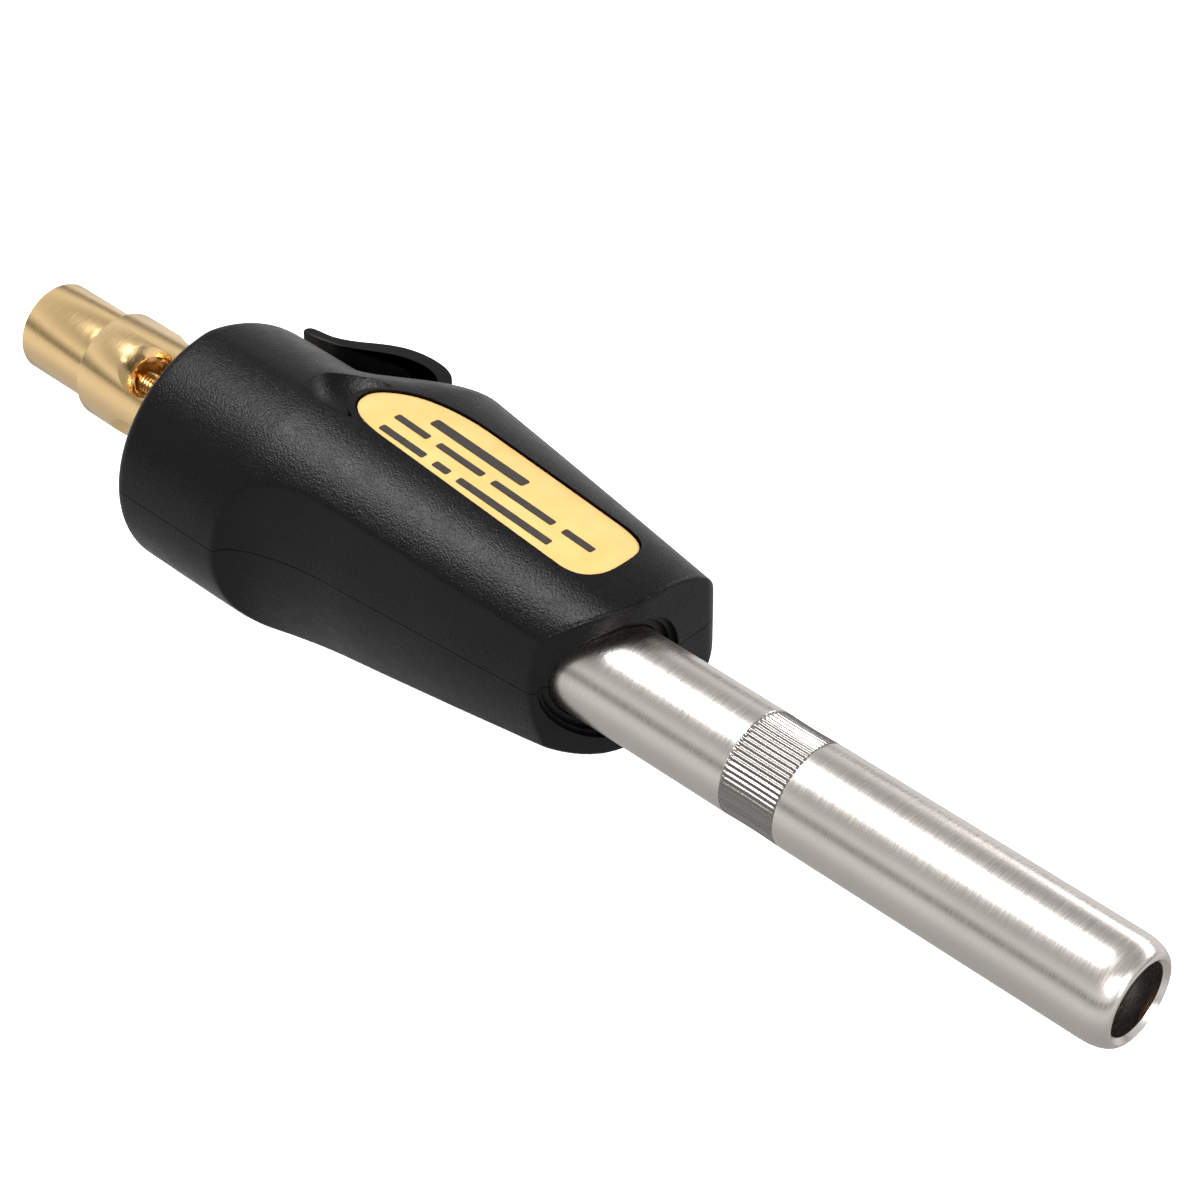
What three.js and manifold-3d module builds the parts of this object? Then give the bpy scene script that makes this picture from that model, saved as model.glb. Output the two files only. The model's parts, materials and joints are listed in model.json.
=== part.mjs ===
// A hand-held gas torch: a brass inlet and air mixer at the rear, a two-shell plastic handpiece with a
// squeeze trigger and piezo igniter, and a stainless flame tube crimped over a brass burner head.
// Millimetres. The gas axis is the X axis, the flame leaves towards +X, the labelled side is +Z and the
// trigger side is +Y. The finished group is moved so that its origin is the centre of its base.
import * as THREE from 'three';
import { mergeVertices } from 'three/addons/utils/BufferGeometryUtils.js';
import Module from 'manifold-3d';

const wasm = await Module();
wasm.setup();

// ---- Driving dimensions -------------------------------------------------------------------------
const FIT = 0.2; // radial clearance between pieces that slide together
const GAP = 0.3; // clearance between faces that meet

// Flame tube
const TUBE_R = 10; // 20 mm stainless tube
const TUBE_WALL = 0.8;
const TUBE_END = 122.9; // mouth plane
const LIP_DROP = 2.25; // the mouth is rolled in by this much
const LIP_LENGTH = 5.3;
const CRIMP_START = 43.2;
const CRIMP_LENGTH = 11.9;
const CRIMP_DEPTH = 0.12;
const CRIMP_EDGE = 0.4;

// Handpiece shells, along the gas axis
const SHELL_REAR = -92;
const HUMP_START = -73;
const PANEL_REAR = -65; // finger panel on the near side: where its scoop starts
const BARREL_FRONT = -62;
const HUMP_X = -50; // widest point of the igniter hump
const PANEL_STRAIGHT = -44; // the finger panel is straight from here
const NOSE_X = 13.8; // most forward point of the front face

// Brass mixer body and inlet
const MIXER_STEP = 0.85; // the mixer body is this much larger in radius than the tube
const MIXER_R = TUBE_R + MIXER_STEP;
const MIXER_REAR = SHELL_REAR - 27.6;
const MIXER_SHOULDER = SHELL_REAR + 12; // the flame tube stops here
const MIXER_CHAMFER = 0.3;
const SPIGOT_LENGTH = 10;
const AIR_HOLE_R = 4;
const AIR_SINK_R = 5.6; // rim of the countersink
const AIR_HOLE_X = MIXER_REAR + 14.8;
const AIR_HOLE_TURN = THREE.MathUtils.degToRad(29.5); // first hole, from +Z towards -Y
const AIR_HOLE_COUNT = 4;
const AIR_SINK_DROP = 0.9; // the countersink starts below the crown, because the body is round
const RING_THICK = 2.6; // retaining ring that the shells hold the brass by
const RING_R = MIXER_R + 3.65;
const RING_GROOVE_R = MIXER_R - 1.25;
const RING_OPENING = 6;
const CHAMBER_R = RING_GROOVE_R - 2.1;
const CHAMBER_FRONT = SHELL_REAR - 4;
const SOCKET_R = MIXER_R - 1.75;
const SOCKET_LENGTH = 18.2;
const SOCKET_BORE_R = 5.6;
const SOCKET_BORE_DEPTH = 11;
const SOCKET_SPIGOT_LENGTH = 4.6;
const JET_R = 3.1;
const JET_FLANGE_R = 4.6;
const JET_FLANGE = 2;
const JET_NOSE_R = 2.4;
const JET_NOSE_LENGTH = 5.4;
const GAS_BORE_R = 1.2;
const ORIFICE_R = 0.54;
const FILTER_THICK = 1.2;
const SEAL_THICK = 1.5;
const WASHER_THICK = 1;

// Mixing tube, burner head and electrode
const MIXING_TUBE_R = 4.2;
const MIXING_TUBE_WALL = 0.7;
const MIXING_SEAT = 4; // the mixing tube starts this far behind the shoulder
const HEAD_LENGTH = 13.5;
const HEAD_SEAT_DEPTH = 6;
const HEAD_NOZZLE_R = 3.2;
const HEAD_FLARE = 1.6; // the nozzle opens by this much over its last stretch
const HEAD_FLARE_LENGTH = 4;
const PORT_R = 0.9;
const PORT_COUNT = 10;
const ELECTRODE_Y = (TUBE_R - TUBE_WALL + MIXING_TUBE_R) / 2; // halfway between the two tubes
const INSULATOR_R = 1.5;
const INSULATOR_BORE_R = 0.85;
const ELECTRODE_R = 0.6;
const INSULATOR_PROUD = 3; // insulator stands this far out of the burner head

// Igniter
const PIEZO_HALF = 4.8;
const PIEZO_Y = TUBE_R + 2.2 + PIEZO_HALF; // axis of the igniter, beside the tube
const PIEZO_REAR = HUMP_X + 0.6;
const PIEZO_LENGTH = 30;
const PIEZO_FRONT = PIEZO_REAR + PIEZO_LENGTH;
const PLUNGER_R = 3.4;
const PLUNGER_BORE_DEPTH = 14;
const PLUNGER_END = PIEZO_REAR - 5.5; // face that the trigger arm pushes
const PLUNGER_INSERT = 6; // how far the plunger stands in its bore
const PLUNGER_HEAD_R = 4.3;
const PLUNGER_HEAD = 1.5;
const SPRING_WIRE = 0.8;
const SPRING_TURNS = 3.5;
const SPRING_STEPS = 10; // facets in one turn
const CONTACT_R = 2.2;
const CONTACT_LENGTH = 3;
const CONTACT_WAY_HALF = 3; // half width of the way through the ribs for the contact and the lead
const LEAD_R = 1.1;
const LEAD_SLOT_START = PIEZO_FRONT + CONTACT_LENGTH + 0.9; // the ignition lead enters the tube here
const LEAD_SLOT_LENGTH = 12;
const LEAD_SLOT_WIDTH = 4.2;
const INSULATOR_REAR = LEAD_SLOT_START + 14;
const CLIP_THICK = 0.5;
const CLIP_REAR = PIEZO_REAR + 11.4;
const CLIP_HALF_WIDTH = 2;
const CLIP_GAP = 0.15;

// Trigger
const PIVOT_X = PLUNGER_END - 1.1;
const PIVOT_Y = PIEZO_Y + 10.8;
const PIN_R = 1.2;
const TRIGGER_HALF_WIDTH = 6.7;
const TRIGGER_BOSS_R = 2.8;
const TRIGGER_LEAF = 2.6; // thickness of the finger leaf
const ARM_HALF_WIDTH = 3;
const ARM_NOSE_R = 2.2;
const SLOT_HALF_WIDTH = 7.5;
const SLOT_FLOOR_Y = PIEZO_Y - PIEZO_HALF - GAP;
const SLOT_FRONT = PIVOT_X - 2.5; // the trigger's front end passes under the shell here
const EAR = 2.2;
const EAR_REACH = 3.6;

// Handpiece shells, across the gas axis
const WALL = 2.4;
const RIB = 2;
const REAR_WALL = 2.5;
const FRONT_WALL = 4.5;
const PARTING = 0.15; // each shell stops this far from the parting plane z = 0
const BARREL_R = 25.5;
const BARREL_Z = -2.5; // centre height of the barrel
const REST_Z = BARREL_Z - BARREL_R + 3.5; // flat underside that the torch lies on
const HUMP_Y = PIVOT_Y + 8.2;
const ROOF_FALL = 0.18; // the roof of the barrel falls towards the igniter side by this share
const HUMP_FULLNESS = 2.5; // superellipse exponent of the igniter side
const NOSE_R = 16.3; // half height of the handpiece at the nose
const NOSE_Y = 24.2;
const COLLAR_R = [TUBE_R + 2.8, TUBE_R + 1.8]; // stepped recess around the tube
const COLLAR_STEP = 1.1;
const PANEL_NOSE_Y = -COLLAR_R[0] - 0.2; // side position of the finger panel at the nose
const PANEL_STRAIGHT_Y = PANEL_NOSE_Y - 4.4; // and where it becomes straight
const PANEL_SCOOP = 6.4; // how far the scoop curves in
const PANEL_CROWN = 1.4 / (12 * 12); // draft of the panel away from the parting plane
const FACE_BOW_Y = 5; // the front face bows back on the near side of this,
const FACE_BOW = 9.1; // by this much,
const FACE_BOW_SPAN = 17.2; // over this width
const FACE_BOW_POWER = 1.8;
const FACE_CORNER_R = 4.5; // corner of the front face on the igniter side
const ROOF_SIDES = 26; // facets around the roof, the finger panel and the cavity
const PANEL_SIDES = 6;
const CAVITY_SIDES = 18;

// Screws: bite is how far the tip passes the parting plane
const BOSS_R = 3.2;
const SCREW_R = 1.4;
const SCREW_HEAD_R = 2.6;
const SCREW_HEAD = 2;
const SCREW_LENGTH = 22;
const SCREWS = [
  { x: SHELL_REAR + 20, y: -(TUBE_R + GAP + BOSS_R + 2), bite: 4 },
  { x: PIEZO_REAR + 13.4, y: PIEZO_Y + PIEZO_HALF + GAP + BOSS_R + 1.1, bite: 8 },
  { x: NOSE_X - 12.8, y: TUBE_R + GAP + BOSS_R + 4.7, bite: 9 },
];
const screwSeat = ({ bite }) => bite - (SCREW_LENGTH - SCREW_HEAD);

// Label and the thumb scoop behind it
const LABEL_SINK = 0.5; // label face below the shell surface
const LABEL_THICK = 0.5;
const LABEL_REAR = HUMP_X - 7.5;
const LABEL_FRONT = NOSE_X - 9.4;
const LABEL_NEAR_Y = 0.1;
const LABEL_FAR_Y = NOSE_Y - 5.9;
const SCOOP = { x: LABEL_REAR - 1.5, y: LABEL_NEAR_Y + 7, rx: 10, ry: 8.6, rz: 6.2, height: 1.5 };

// ---- Mesh and solid helpers ---------------------------------------------------------------------
function solid(geometry) {
  const bare = geometry.index ? geometry.toNonIndexed() : geometry.clone();
  bare.deleteAttribute('normal');
  bare.deleteAttribute('uv');
  const merged = mergeVertices(bare, 1e-4);
  return new wasm.Manifold(new wasm.Mesh({
    numProp: 3,
    vertProperties: merged.attributes.position.array,
    triVerts: new Uint32Array(merged.index.array),
  }));
}

function geometryOf(manifold) {
  const mesh = manifold.getMesh();
  const geometry = new THREE.BufferGeometry();
  geometry.setAttribute('position', new THREE.BufferAttribute(mesh.vertProperties, 3));
  geometry.setIndex(new THREE.BufferAttribute(mesh.triVerts, 1));
  geometry.computeVertexNormals();
  return geometry;
}

// A solid of revolution about the X axis: profile is a list of [x, radius] that ends on the axis or closes.
function turned(profile, sides = 24) {
  const points = profile.map(([x, radius]) => new THREE.Vector2(radius, x));
  const geometry = new THREE.LatheGeometry(points, sides);
  geometry.rotateZ(-Math.PI / 2);
  const made = solid(geometry);
  return made.volume() < 0 ? solid(flipped(geometry)) : made;
}

function flipped(geometry) {
  const bare = geometry.index ? geometry.toNonIndexed() : geometry.clone();
  const p = bare.attributes.position;
  for (let i = 0; i < p.count; i += 3) {
    const b = new THREE.Vector3().fromBufferAttribute(p, i + 1);
    const c = new THREE.Vector3().fromBufferAttribute(p, i + 2);
    p.setXYZ(i + 1, c.x, c.y, c.z);
    p.setXYZ(i + 2, b.x, b.y, b.z);
  }
  return bare;
}

const rod = (x0, x1, radius, sides = 24) => turned([[x0, 0], [x0, radius], [x1, radius], [x1, 0]], sides);
const pipe = (x0, x1, outer, inner, sides = 24) =>
  turned([[x0, inner], [x0, outer], [x1, outer], [x1, inner], [x0, inner]], sides);

function block(x0, x1, y0, y1, z0, z1) {
  const geometry = new THREE.BoxGeometry(x1 - x0, y1 - y0, z1 - z0);
  return solid(geometry.translate((x0 + x1) / 2, (y0 + y1) / 2, (z0 + z1) / 2));
}

function post(x, y, z0, z1, radius, sides = 16) {
  const geometry = new THREE.CylinderGeometry(radius, radius, z1 - z0, sides);
  return solid(geometry.rotateX(Math.PI / 2).translate(x, y, (z0 + z1) / 2));
}

// A shape in the XY plane raised from z0 to z1.
function plate(shape, z0, z1, curveSegments = 12) {
  const geometry = new THREE.ExtrudeGeometry(shape, { depth: z1 - z0, bevelEnabled: false, curveSegments });
  return solid(geometry.translate(0, 0, z0));
}

// A round wire of the given radius along a curve.
function wire(curve, radius, steps, sides = 8) {
  const section = new THREE.Shape();
  for (let i = 0; i < sides; i += 1) {
    const turn = (i / sides) * 2 * Math.PI;
    const point = [radius * Math.cos(turn), radius * Math.sin(turn)];
    if (i === 0) section.moveTo(...point);
    else section.lineTo(...point);
  }
  section.closePath();
  return solid(new THREE.ExtrudeGeometry(section, { steps, extrudePath: curve, bevelEnabled: false }));
}

const subtractAll = (body, ...tools) => tools.reduce((left, tool) => left.subtract(tool), body);
const addAll = (body, ...more) => more.reduce((left, piece) => left.add(piece), body);

const finishes = {
  brass: { color: 0xd8ab5c, roughness: 0.32, metalness: 1 },
  steel: { color: 0xb8b4b0, roughness: 0.38, metalness: 1 },
  plastic: { color: 0x17171a, roughness: 0.55, metalness: 0 },
  label: { color: 0xf0c06a, roughness: 0.45, metalness: 0.2 },
  rubber: { color: 0x202020, roughness: 0.8, metalness: 0 },
  ceramic: { color: 0xf1ece2, roughness: 0.4, metalness: 0 },
  case: { color: 0x9a9c9f, roughness: 0.5, metalness: 0 },
  lead: { color: 0xa52a20, roughness: 0.6, metalness: 0 },
};

const torch = new THREE.Group();
function add(name, manifold, finish) {
  const mesh = new THREE.Mesh(geometryOf(manifold), new THREE.MeshStandardMaterial(finishes[finish]));
  mesh.name = name;
  torch.add(mesh);
}

// ---- Gas path -----------------------------------------------------------------------------------
const socketRear = MIXER_REAR - SOCKET_LENGTH;
const boreEnd = socketRear + SOCKET_BORE_DEPTH;
const spigotFront = MIXER_REAR + SOCKET_SPIGOT_LENGTH;
const ringRear = SHELL_REAR + REAR_WALL + GAP;
const ringFront = ringRear + RING_THICK;
const mixingRear = MIXER_SHOULDER - MIXING_SEAT;

function inletSocket() {
  const body = turned([
    [socketRear, 0], [socketRear, SOCKET_R - MIXER_CHAMFER], [socketRear + MIXER_CHAMFER, SOCKET_R],
    [MIXER_REAR, SOCKET_R],
    [MIXER_REAR, CHAMBER_R - FIT], [spigotFront, CHAMBER_R - FIT], [spigotFront, 0],
  ], 36);
  const bore = rod(socketRear - 1, boreEnd, SOCKET_BORE_R);
  const gasWay = rod(boreEnd - 1, spigotFront + 1, JET_R + FIT);
  return subtractAll(body, bore, gasWay);
}

function gasJet() {
  const rear = boreEnd + 2.5;
  const seat = spigotFront + WASHER_THICK + 0.4;
  const flangeFront = seat + JET_FLANGE;
  const nose = flangeFront + JET_NOSE_LENGTH;
  const body = turned([
    [rear, 0], [rear, JET_R], [seat, JET_R], [seat, JET_FLANGE_R], [flangeFront, JET_FLANGE_R],
    [flangeFront, JET_NOSE_R], [nose - 1, JET_NOSE_R], [nose, JET_NOSE_R - 1], [nose, 0],
  ], 18);
  const gasBore = rod(boreEnd, seat + JET_NOSE_LENGTH, GAS_BORE_R, 12);
  const orifice = rod(boreEnd, nose + 1, ORIFICE_R, 8);
  return subtractAll(body, gasBore, orifice);
}

function mixerBody() {
  const rear = MIXER_REAR + 0.1;
  const front = MIXER_SHOULDER + SPIGOT_LENGTH;
  const spigotR = TUBE_R - TUBE_WALL - FIT;
  const body = turned([
    [rear, 0], [rear, MIXER_R - MIXER_CHAMFER], [rear + MIXER_CHAMFER, MIXER_R],
    [ringRear - GAP, MIXER_R], [ringRear - GAP, RING_GROOVE_R], [ringFront + GAP, RING_GROOVE_R],
    [ringFront + GAP, MIXER_R], [MIXER_SHOULDER, MIXER_R], [MIXER_SHOULDER, spigotR], [front, spigotR],
    [front, 0],
  ], 28);
  const coneFront = CHAMBER_FRONT + CHAMBER_R - MIXING_TUBE_R;
  const chamber = turned([
    [MIXER_REAR - 1, 0], [MIXER_REAR - 1, CHAMBER_R], [CHAMBER_FRONT, CHAMBER_R],
    [coneFront, MIXING_TUBE_R - MIXING_TUBE_WALL], [coneFront, 0],
  ], 20);
  const throat = rod(coneFront - 1, mixingRear + 1, MIXING_TUBE_R - MIXING_TUBE_WALL, 18);
  const tubeSeat = rod(mixingRear - GAP, front + 1, MIXING_TUBE_R + FIT, 18);
  let made = subtractAll(body, chamber, throat, tubeSeat);
  for (let i = 0; i < AIR_HOLE_COUNT; i += 1) {
    const turn = AIR_HOLE_TURN + (i * 2 * Math.PI) / AIR_HOLE_COUNT;
    const hole = new THREE.CylinderGeometry(AIR_HOLE_R, AIR_HOLE_R, MIXER_R + 2, 14);
    hole.translate(0, (MIXER_R + 2) / 2, 0);
    const sinkDepth = AIR_SINK_R - AIR_HOLE_R;
    const sink = new THREE.CylinderGeometry(AIR_SINK_R + 1, AIR_HOLE_R, sinkDepth + 1, 14);
    sink.translate(0, MIXER_R - sinkDepth + (sinkDepth + 1) / 2 - AIR_SINK_DROP, 0);
    for (const geometry of [hole, sink]) {
      geometry.rotateX(Math.PI / 2 + turn).translate(AIR_HOLE_X, 0, 0);
      made = made.subtract(solid(geometry));
    }
  }
  return made;
}

function retainingRing() {
  const ring = pipe(ringRear, ringFront, RING_R, RING_GROOVE_R + FIT, 30);
  const opening = block(ringRear - 1, ringFront + 1, -RING_R - 1, 0, -RING_OPENING / 2,
    RING_OPENING / 2);
  return ring.subtract(opening);
}

const headRear = CRIMP_START - 0.8;
const headFront = headRear + HEAD_LENGTH;

function burnerHead() {
  const headR = TUBE_R - TUBE_WALL - FIT - CRIMP_DEPTH;
  const body = rod(headRear, headFront, headR, 36);
  const seat = rod(headRear - 1, headRear + HEAD_SEAT_DEPTH, MIXING_TUBE_R + FIT, 18);
  const nozzle = turned([
    [headRear, 0], [headRear, HEAD_NOZZLE_R], [headFront - HEAD_FLARE_LENGTH, HEAD_NOZZLE_R],
    [headFront + 0.1, HEAD_NOZZLE_R + HEAD_FLARE], [headFront + 0.1, 0],
  ], 18);
  let made = subtractAll(body, seat, nozzle);
  for (let i = 1; i < PORT_COUNT; i += 1) {
    const turn = (i / PORT_COUNT) * 2 * Math.PI;
    const portY = ELECTRODE_Y * Math.cos(turn);
    const portZ = ELECTRODE_Y * Math.sin(turn);
    made = made.subtract(rod(headRear - 1, headFront + 1, PORT_R, 8).translate([0, portY, portZ]));
  }
  const notchHalf = INSULATOR_R + FIT;
  const notch = block(headRear - 1, headFront + 1, ELECTRODE_Y, headR + 1, -notchHalf, notchHalf)
    .add(rod(headRear - 1, headFront + 1, notchHalf, 16).translate([0, ELECTRODE_Y, 0]));
  return made.subtract(notch);
}

function flameTube() {
  const inner = TUBE_R - TUBE_WALL;
  const lipStart = TUBE_END - LIP_LENGTH;
  const outerArc = [];
  const innerArc = [];
  const arcSteps = 4;
  for (let i = 0; i <= arcSteps; i += 1) {
    const turn = (i / arcSteps) * (Math.PI / 2);
    const drop = LIP_DROP * (1 - Math.cos(turn));
    const innerDrop = drop * (1 - TUBE_WALL / (TUBE_R - LIP_DROP));
    outerArc.push([lipStart + LIP_LENGTH * Math.sin(turn), TUBE_R - drop]);
    innerArc.unshift([lipStart + (LIP_LENGTH - TUBE_WALL) * Math.sin(turn), inner - innerDrop]);
  }
  const rear = MIXER_SHOULDER + GAP;
  const crimpEnd = CRIMP_START + CRIMP_LENGTH;
  const body = turned([
    [rear, inner], [rear, TUBE_R],
    [CRIMP_START, TUBE_R], [CRIMP_START + CRIMP_EDGE, TUBE_R - CRIMP_DEPTH],
    [crimpEnd - CRIMP_EDGE, TUBE_R - CRIMP_DEPTH], [crimpEnd, TUBE_R],
    ...outerArc, ...innerArc, [rear, inner],
  ], 32);
  const halfSlot = LEAD_SLOT_WIDTH / 2;
  const slot = block(LEAD_SLOT_START, LEAD_SLOT_START + LEAD_SLOT_LENGTH, 0, TUBE_R + 2, -halfSlot, halfSlot);
  return body.subtract(slot);
}

// ---- Handpiece shape ----------------------------------------------------------------------------
const { clamp, lerp, smoothstep } = THREE.MathUtils;

const taper = (x) => clamp((x - BARREL_FRONT) / (NOSE_X - BARREL_FRONT), 0, 1.1);
const halfHeight = (x) => lerp(BARREL_R, NOSE_R, taper(x));
const centreZ = (x) => lerp(BARREL_Z, 0, taper(x));
const roofFall = (x) => ROOF_FALL * Math.max(0, 1 - taper(x));
const swell = (x) => smoothstep(x, HUMP_START, HUMP_X);
const reachY = (x) => lerp(BARREL_R, HUMP_Y, swell(x))
  - Math.max(0, x - HUMP_X) * ((HUMP_Y - NOSE_Y) / (NOSE_X - HUMP_X));

// Side position of the finger panel at the parting plane.
function panelY(x) {
  if (x <= PANEL_REAR) return -2 * BARREL_R;
  const slope = (PANEL_NOSE_Y - PANEL_STRAIGHT_Y) / (NOSE_X - PANEL_STRAIGHT);
  const t = clamp((PANEL_STRAIGHT - x) / (PANEL_STRAIGHT - PANEL_REAR), 0, 1);
  return PANEL_STRAIGHT_Y + slope * (x - PANEL_STRAIGHT) - PANEL_SCOOP * (1 - Math.sqrt(1 - t * t));
}

// The panel moved inwards by a wall thickness, measured square to its surface.
function panelInsetY(x, inset) {
  let side = -Infinity;
  for (const share of [-1, -0.8, -0.4, 0, 0.4, 0.8, 1]) {
    side = Math.max(side, panelY(x + share * inset) + inset * Math.sqrt(1 - share * share));
  }
  return side;
}

// One cross-section of the handpiece, inset from the outer surface: points [y, z] counter-clockwise.
function section(x, inset, roofCount, panelCount) {
  const height = halfHeight(x) - inset;
  const centre = centreZ(x);
  const reach = reachY(x) - inset;
  const power = 2 / lerp(2, HUMP_FULLNESS, swell(x));
  const side = panelInsetY(x, inset);
  const roof = (turn) => {
    const c = Math.cos(turn);
    const s = Math.sin(turn);
    const shape = c > 0 ? power : 1;
    const y = Math.sign(c) * (c > 0 ? reach : height) * Math.abs(c) ** shape;
    const fall = c > 0 && s > 0 ? 1 - roofFall(x) * c : 1;
    return [y, centre + Math.sign(s) * height * Math.abs(s) ** shape * fall];
  };
  const cut = (z) => side + PANEL_CROWN * z * z;
  const corner = (sign) => {
    let free = Math.PI / 2;
    let blocked = Math.PI * 0.93;
    const [endY, endZ] = roof(sign * blocked);
    if (endY > cut(endZ)) return sign * blocked;
    for (let i = 0; i < 30; i += 1) {
      const middle = (free + blocked) / 2;
      const [y, z] = roof(sign * middle);
      if (y > cut(z)) free = middle;
      else blocked = middle;
    }
    return sign * free;
  };
  const bottomTurn = corner(-1);
  const topTurn = corner(1);
  const points = [];
  for (let i = 0; i <= roofCount; i += 1) points.push(roof(lerp(bottomTurn, topTurn, i / roofCount)));
  const topZ = points[roofCount][1];
  const bottomZ = points[0][1];
  for (let i = 1; i < panelCount; i += 1) {
    const z = lerp(topZ, bottomZ, i / panelCount);
    const round = -Math.sqrt(Math.max(0, height * height - (z - centre) * (z - centre)));
    points.push([Math.max(round, cut(z)), z]);
  }
  return points.map(([y, z]) => [y, Math.max(z, REST_Z + inset)]);
}

// A closed solid through cross-sections at the stations, each a pair of x and extra inset.
function loft(stations, inset, roofCount, panelCount) {
  const rings = stations.map(([x, extra]) => section(x, inset + extra, roofCount, panelCount)
    .map(([y, z]) => [x, y, z]));
  const count = rings[0].length;
  const positions = rings.flat(2);
  const indices = [];
  for (let k = 0; k + 1 < rings.length; k += 1) {
    for (let i = 0; i < count; i += 1) {
      const a = k * count + i;
      const b = k * count + ((i + 1) % count);
      indices.push(a, b, b + count, a, b + count, a + count);
    }
  }
  for (const [k, faces] of [[0, -1], [rings.length - 1, 1]]) {
    const centre = positions.length / 3;
    positions.push(rings[k][0][0], 2, 0);
    for (let i = 0; i < count; i += 1) {
      const a = k * count + i;
      const b = k * count + ((i + 1) % count);
      if (faces > 0) indices.push(centre, a, b);
      else indices.push(centre, b, a);
    }
  }
  const geometry = new THREE.BufferGeometry();
  geometry.setAttribute('position', new THREE.Float32BufferAttribute(positions, 3));
  geometry.setIndex(indices);
  const made = solid(geometry);
  return made.volume() < 0 ? solid(flipped(geometry)) : made;
}

const AROUND = 90; // reaches past the whole handpiece
const rising = (a, b) => a - b;
const onPanel = (share) => lerp(PANEL_STRAIGHT, NOSE_X, share);
const bodyStations = [
  PANEL_REAR - 3.5, PANEL_REAR - 0.05, PANEL_REAR + 0.4, PANEL_REAR + 1.4, PANEL_REAR + 3,
  PANEL_REAR + 6, PANEL_REAR + 10, HUMP_X, PANEL_STRAIGHT,
  onPanel(0.2), onPanel(0.45), onPanel(0.7), onPanel(0.9), NOSE_X + 3,
];
const outerStations = [
  [SHELL_REAR, 1.7], [SHELL_REAR + 0.6, 0.6],
  ...[SHELL_REAR + 2, SHELL_REAR + 11, HUMP_START, ...bodyStations].sort(rising).map((x) => [x, 0]),
];
const innerStations = [
  SHELL_REAR + REAR_WALL, HUMP_START, PANEL_REAR - 2.6, PANEL_REAR - 1, PANEL_REAR + 2.5, PANEL_REAR + 8,
  HUMP_X, PANEL_STRAIGHT, onPanel(0.4), NOSE_X + 3,
].sort(rising).map((x) => [x, 0]);

// Plan curve of the front face: bowed on the near side, a round corner on the igniter side.
const faceCornerY = NOSE_Y + 0.5 - FACE_CORNER_R;
function faceX(y) {
  if (y < FACE_BOW_Y) return NOSE_X - FACE_BOW * ((FACE_BOW_Y - y) / FACE_BOW_SPAN) ** FACE_BOW_POWER;
  if (y <= faceCornerY) return NOSE_X;
  const across = Math.min(y - faceCornerY, FACE_CORNER_R);
  return NOSE_X - FACE_CORNER_R + Math.sqrt(FACE_CORNER_R ** 2 - across ** 2);
}

// Everything in front of the front face, moved back by the given depth.
function aheadOfFace(depth, steps = 16) {
  const nearY = -16;
  const reach = BARREL_R + 20;
  const ahead = NOSE_X + reach;
  const shape = new THREE.Shape();
  shape.moveTo(ahead, -reach);
  shape.lineTo(ahead, reach);
  for (let i = 0; i <= steps; i += 1) {
    const y = lerp(reach, nearY, i / steps);
    shape.lineTo(faceX(Math.min(y, faceCornerY + FACE_CORNER_R - 0.05)) - depth, y);
  }
  shape.lineTo(faceX(nearY) - depth, -reach);
  shape.closePath();
  return plate(shape, -reach, reach);
}

const LABEL_BAND = [5, AROUND]; // heights between which the label outline cuts

// Outline of the label, grown by a margin: a wide round rear end and a narrower front end.
function labelShape(margin) {
  const rear = LABEL_REAR - margin;
  const front = LABEL_FRONT + margin;
  const near = LABEL_NEAR_Y - margin;
  const far = LABEL_FAR_Y + margin;
  const rearEdge = near + 0.9; // the near edge runs out by this much towards the rear
  const frontEdge = far - 0.8;
  const shape = new THREE.Shape();
  shape.moveTo(rear + 12, rearEdge);
  shape.lineTo(front - 7, near);
  shape.bezierCurveTo(front - 2.5, near, front, near + 3, front, near + 7);
  shape.bezierCurveTo(front, far - 3, front - 3, frontEdge - 0.4, front - 8, frontEdge);
  shape.lineTo(rear + 20, far);
  shape.bezierCurveTo(rear + 8, far, rear, far - 6, rear, near + 8);
  shape.bezierCurveTo(rear, near + 3, rear + 4, rearEdge, rear + 12, rearEdge);
  return shape;
}

function scoopSolid(grow) {
  const ball = new THREE.SphereGeometry(1, 20, 12);
  ball.scale(SCOOP.rx + grow, SCOOP.ry + grow, SCOOP.rz + grow);
  const top = centreZ(SCOOP.x) + halfHeight(SCOOP.x);
  return solid(ball.translate(SCOOP.x, SCOOP.y, top + SCOOP.height));
}

function wallAcross(x, fill, ...openings) {
  return subtractAll(fill.intersect(block(x, x + RIB, -AROUND, AROUND, -AROUND, AROUND)), ...openings);
}

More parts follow.
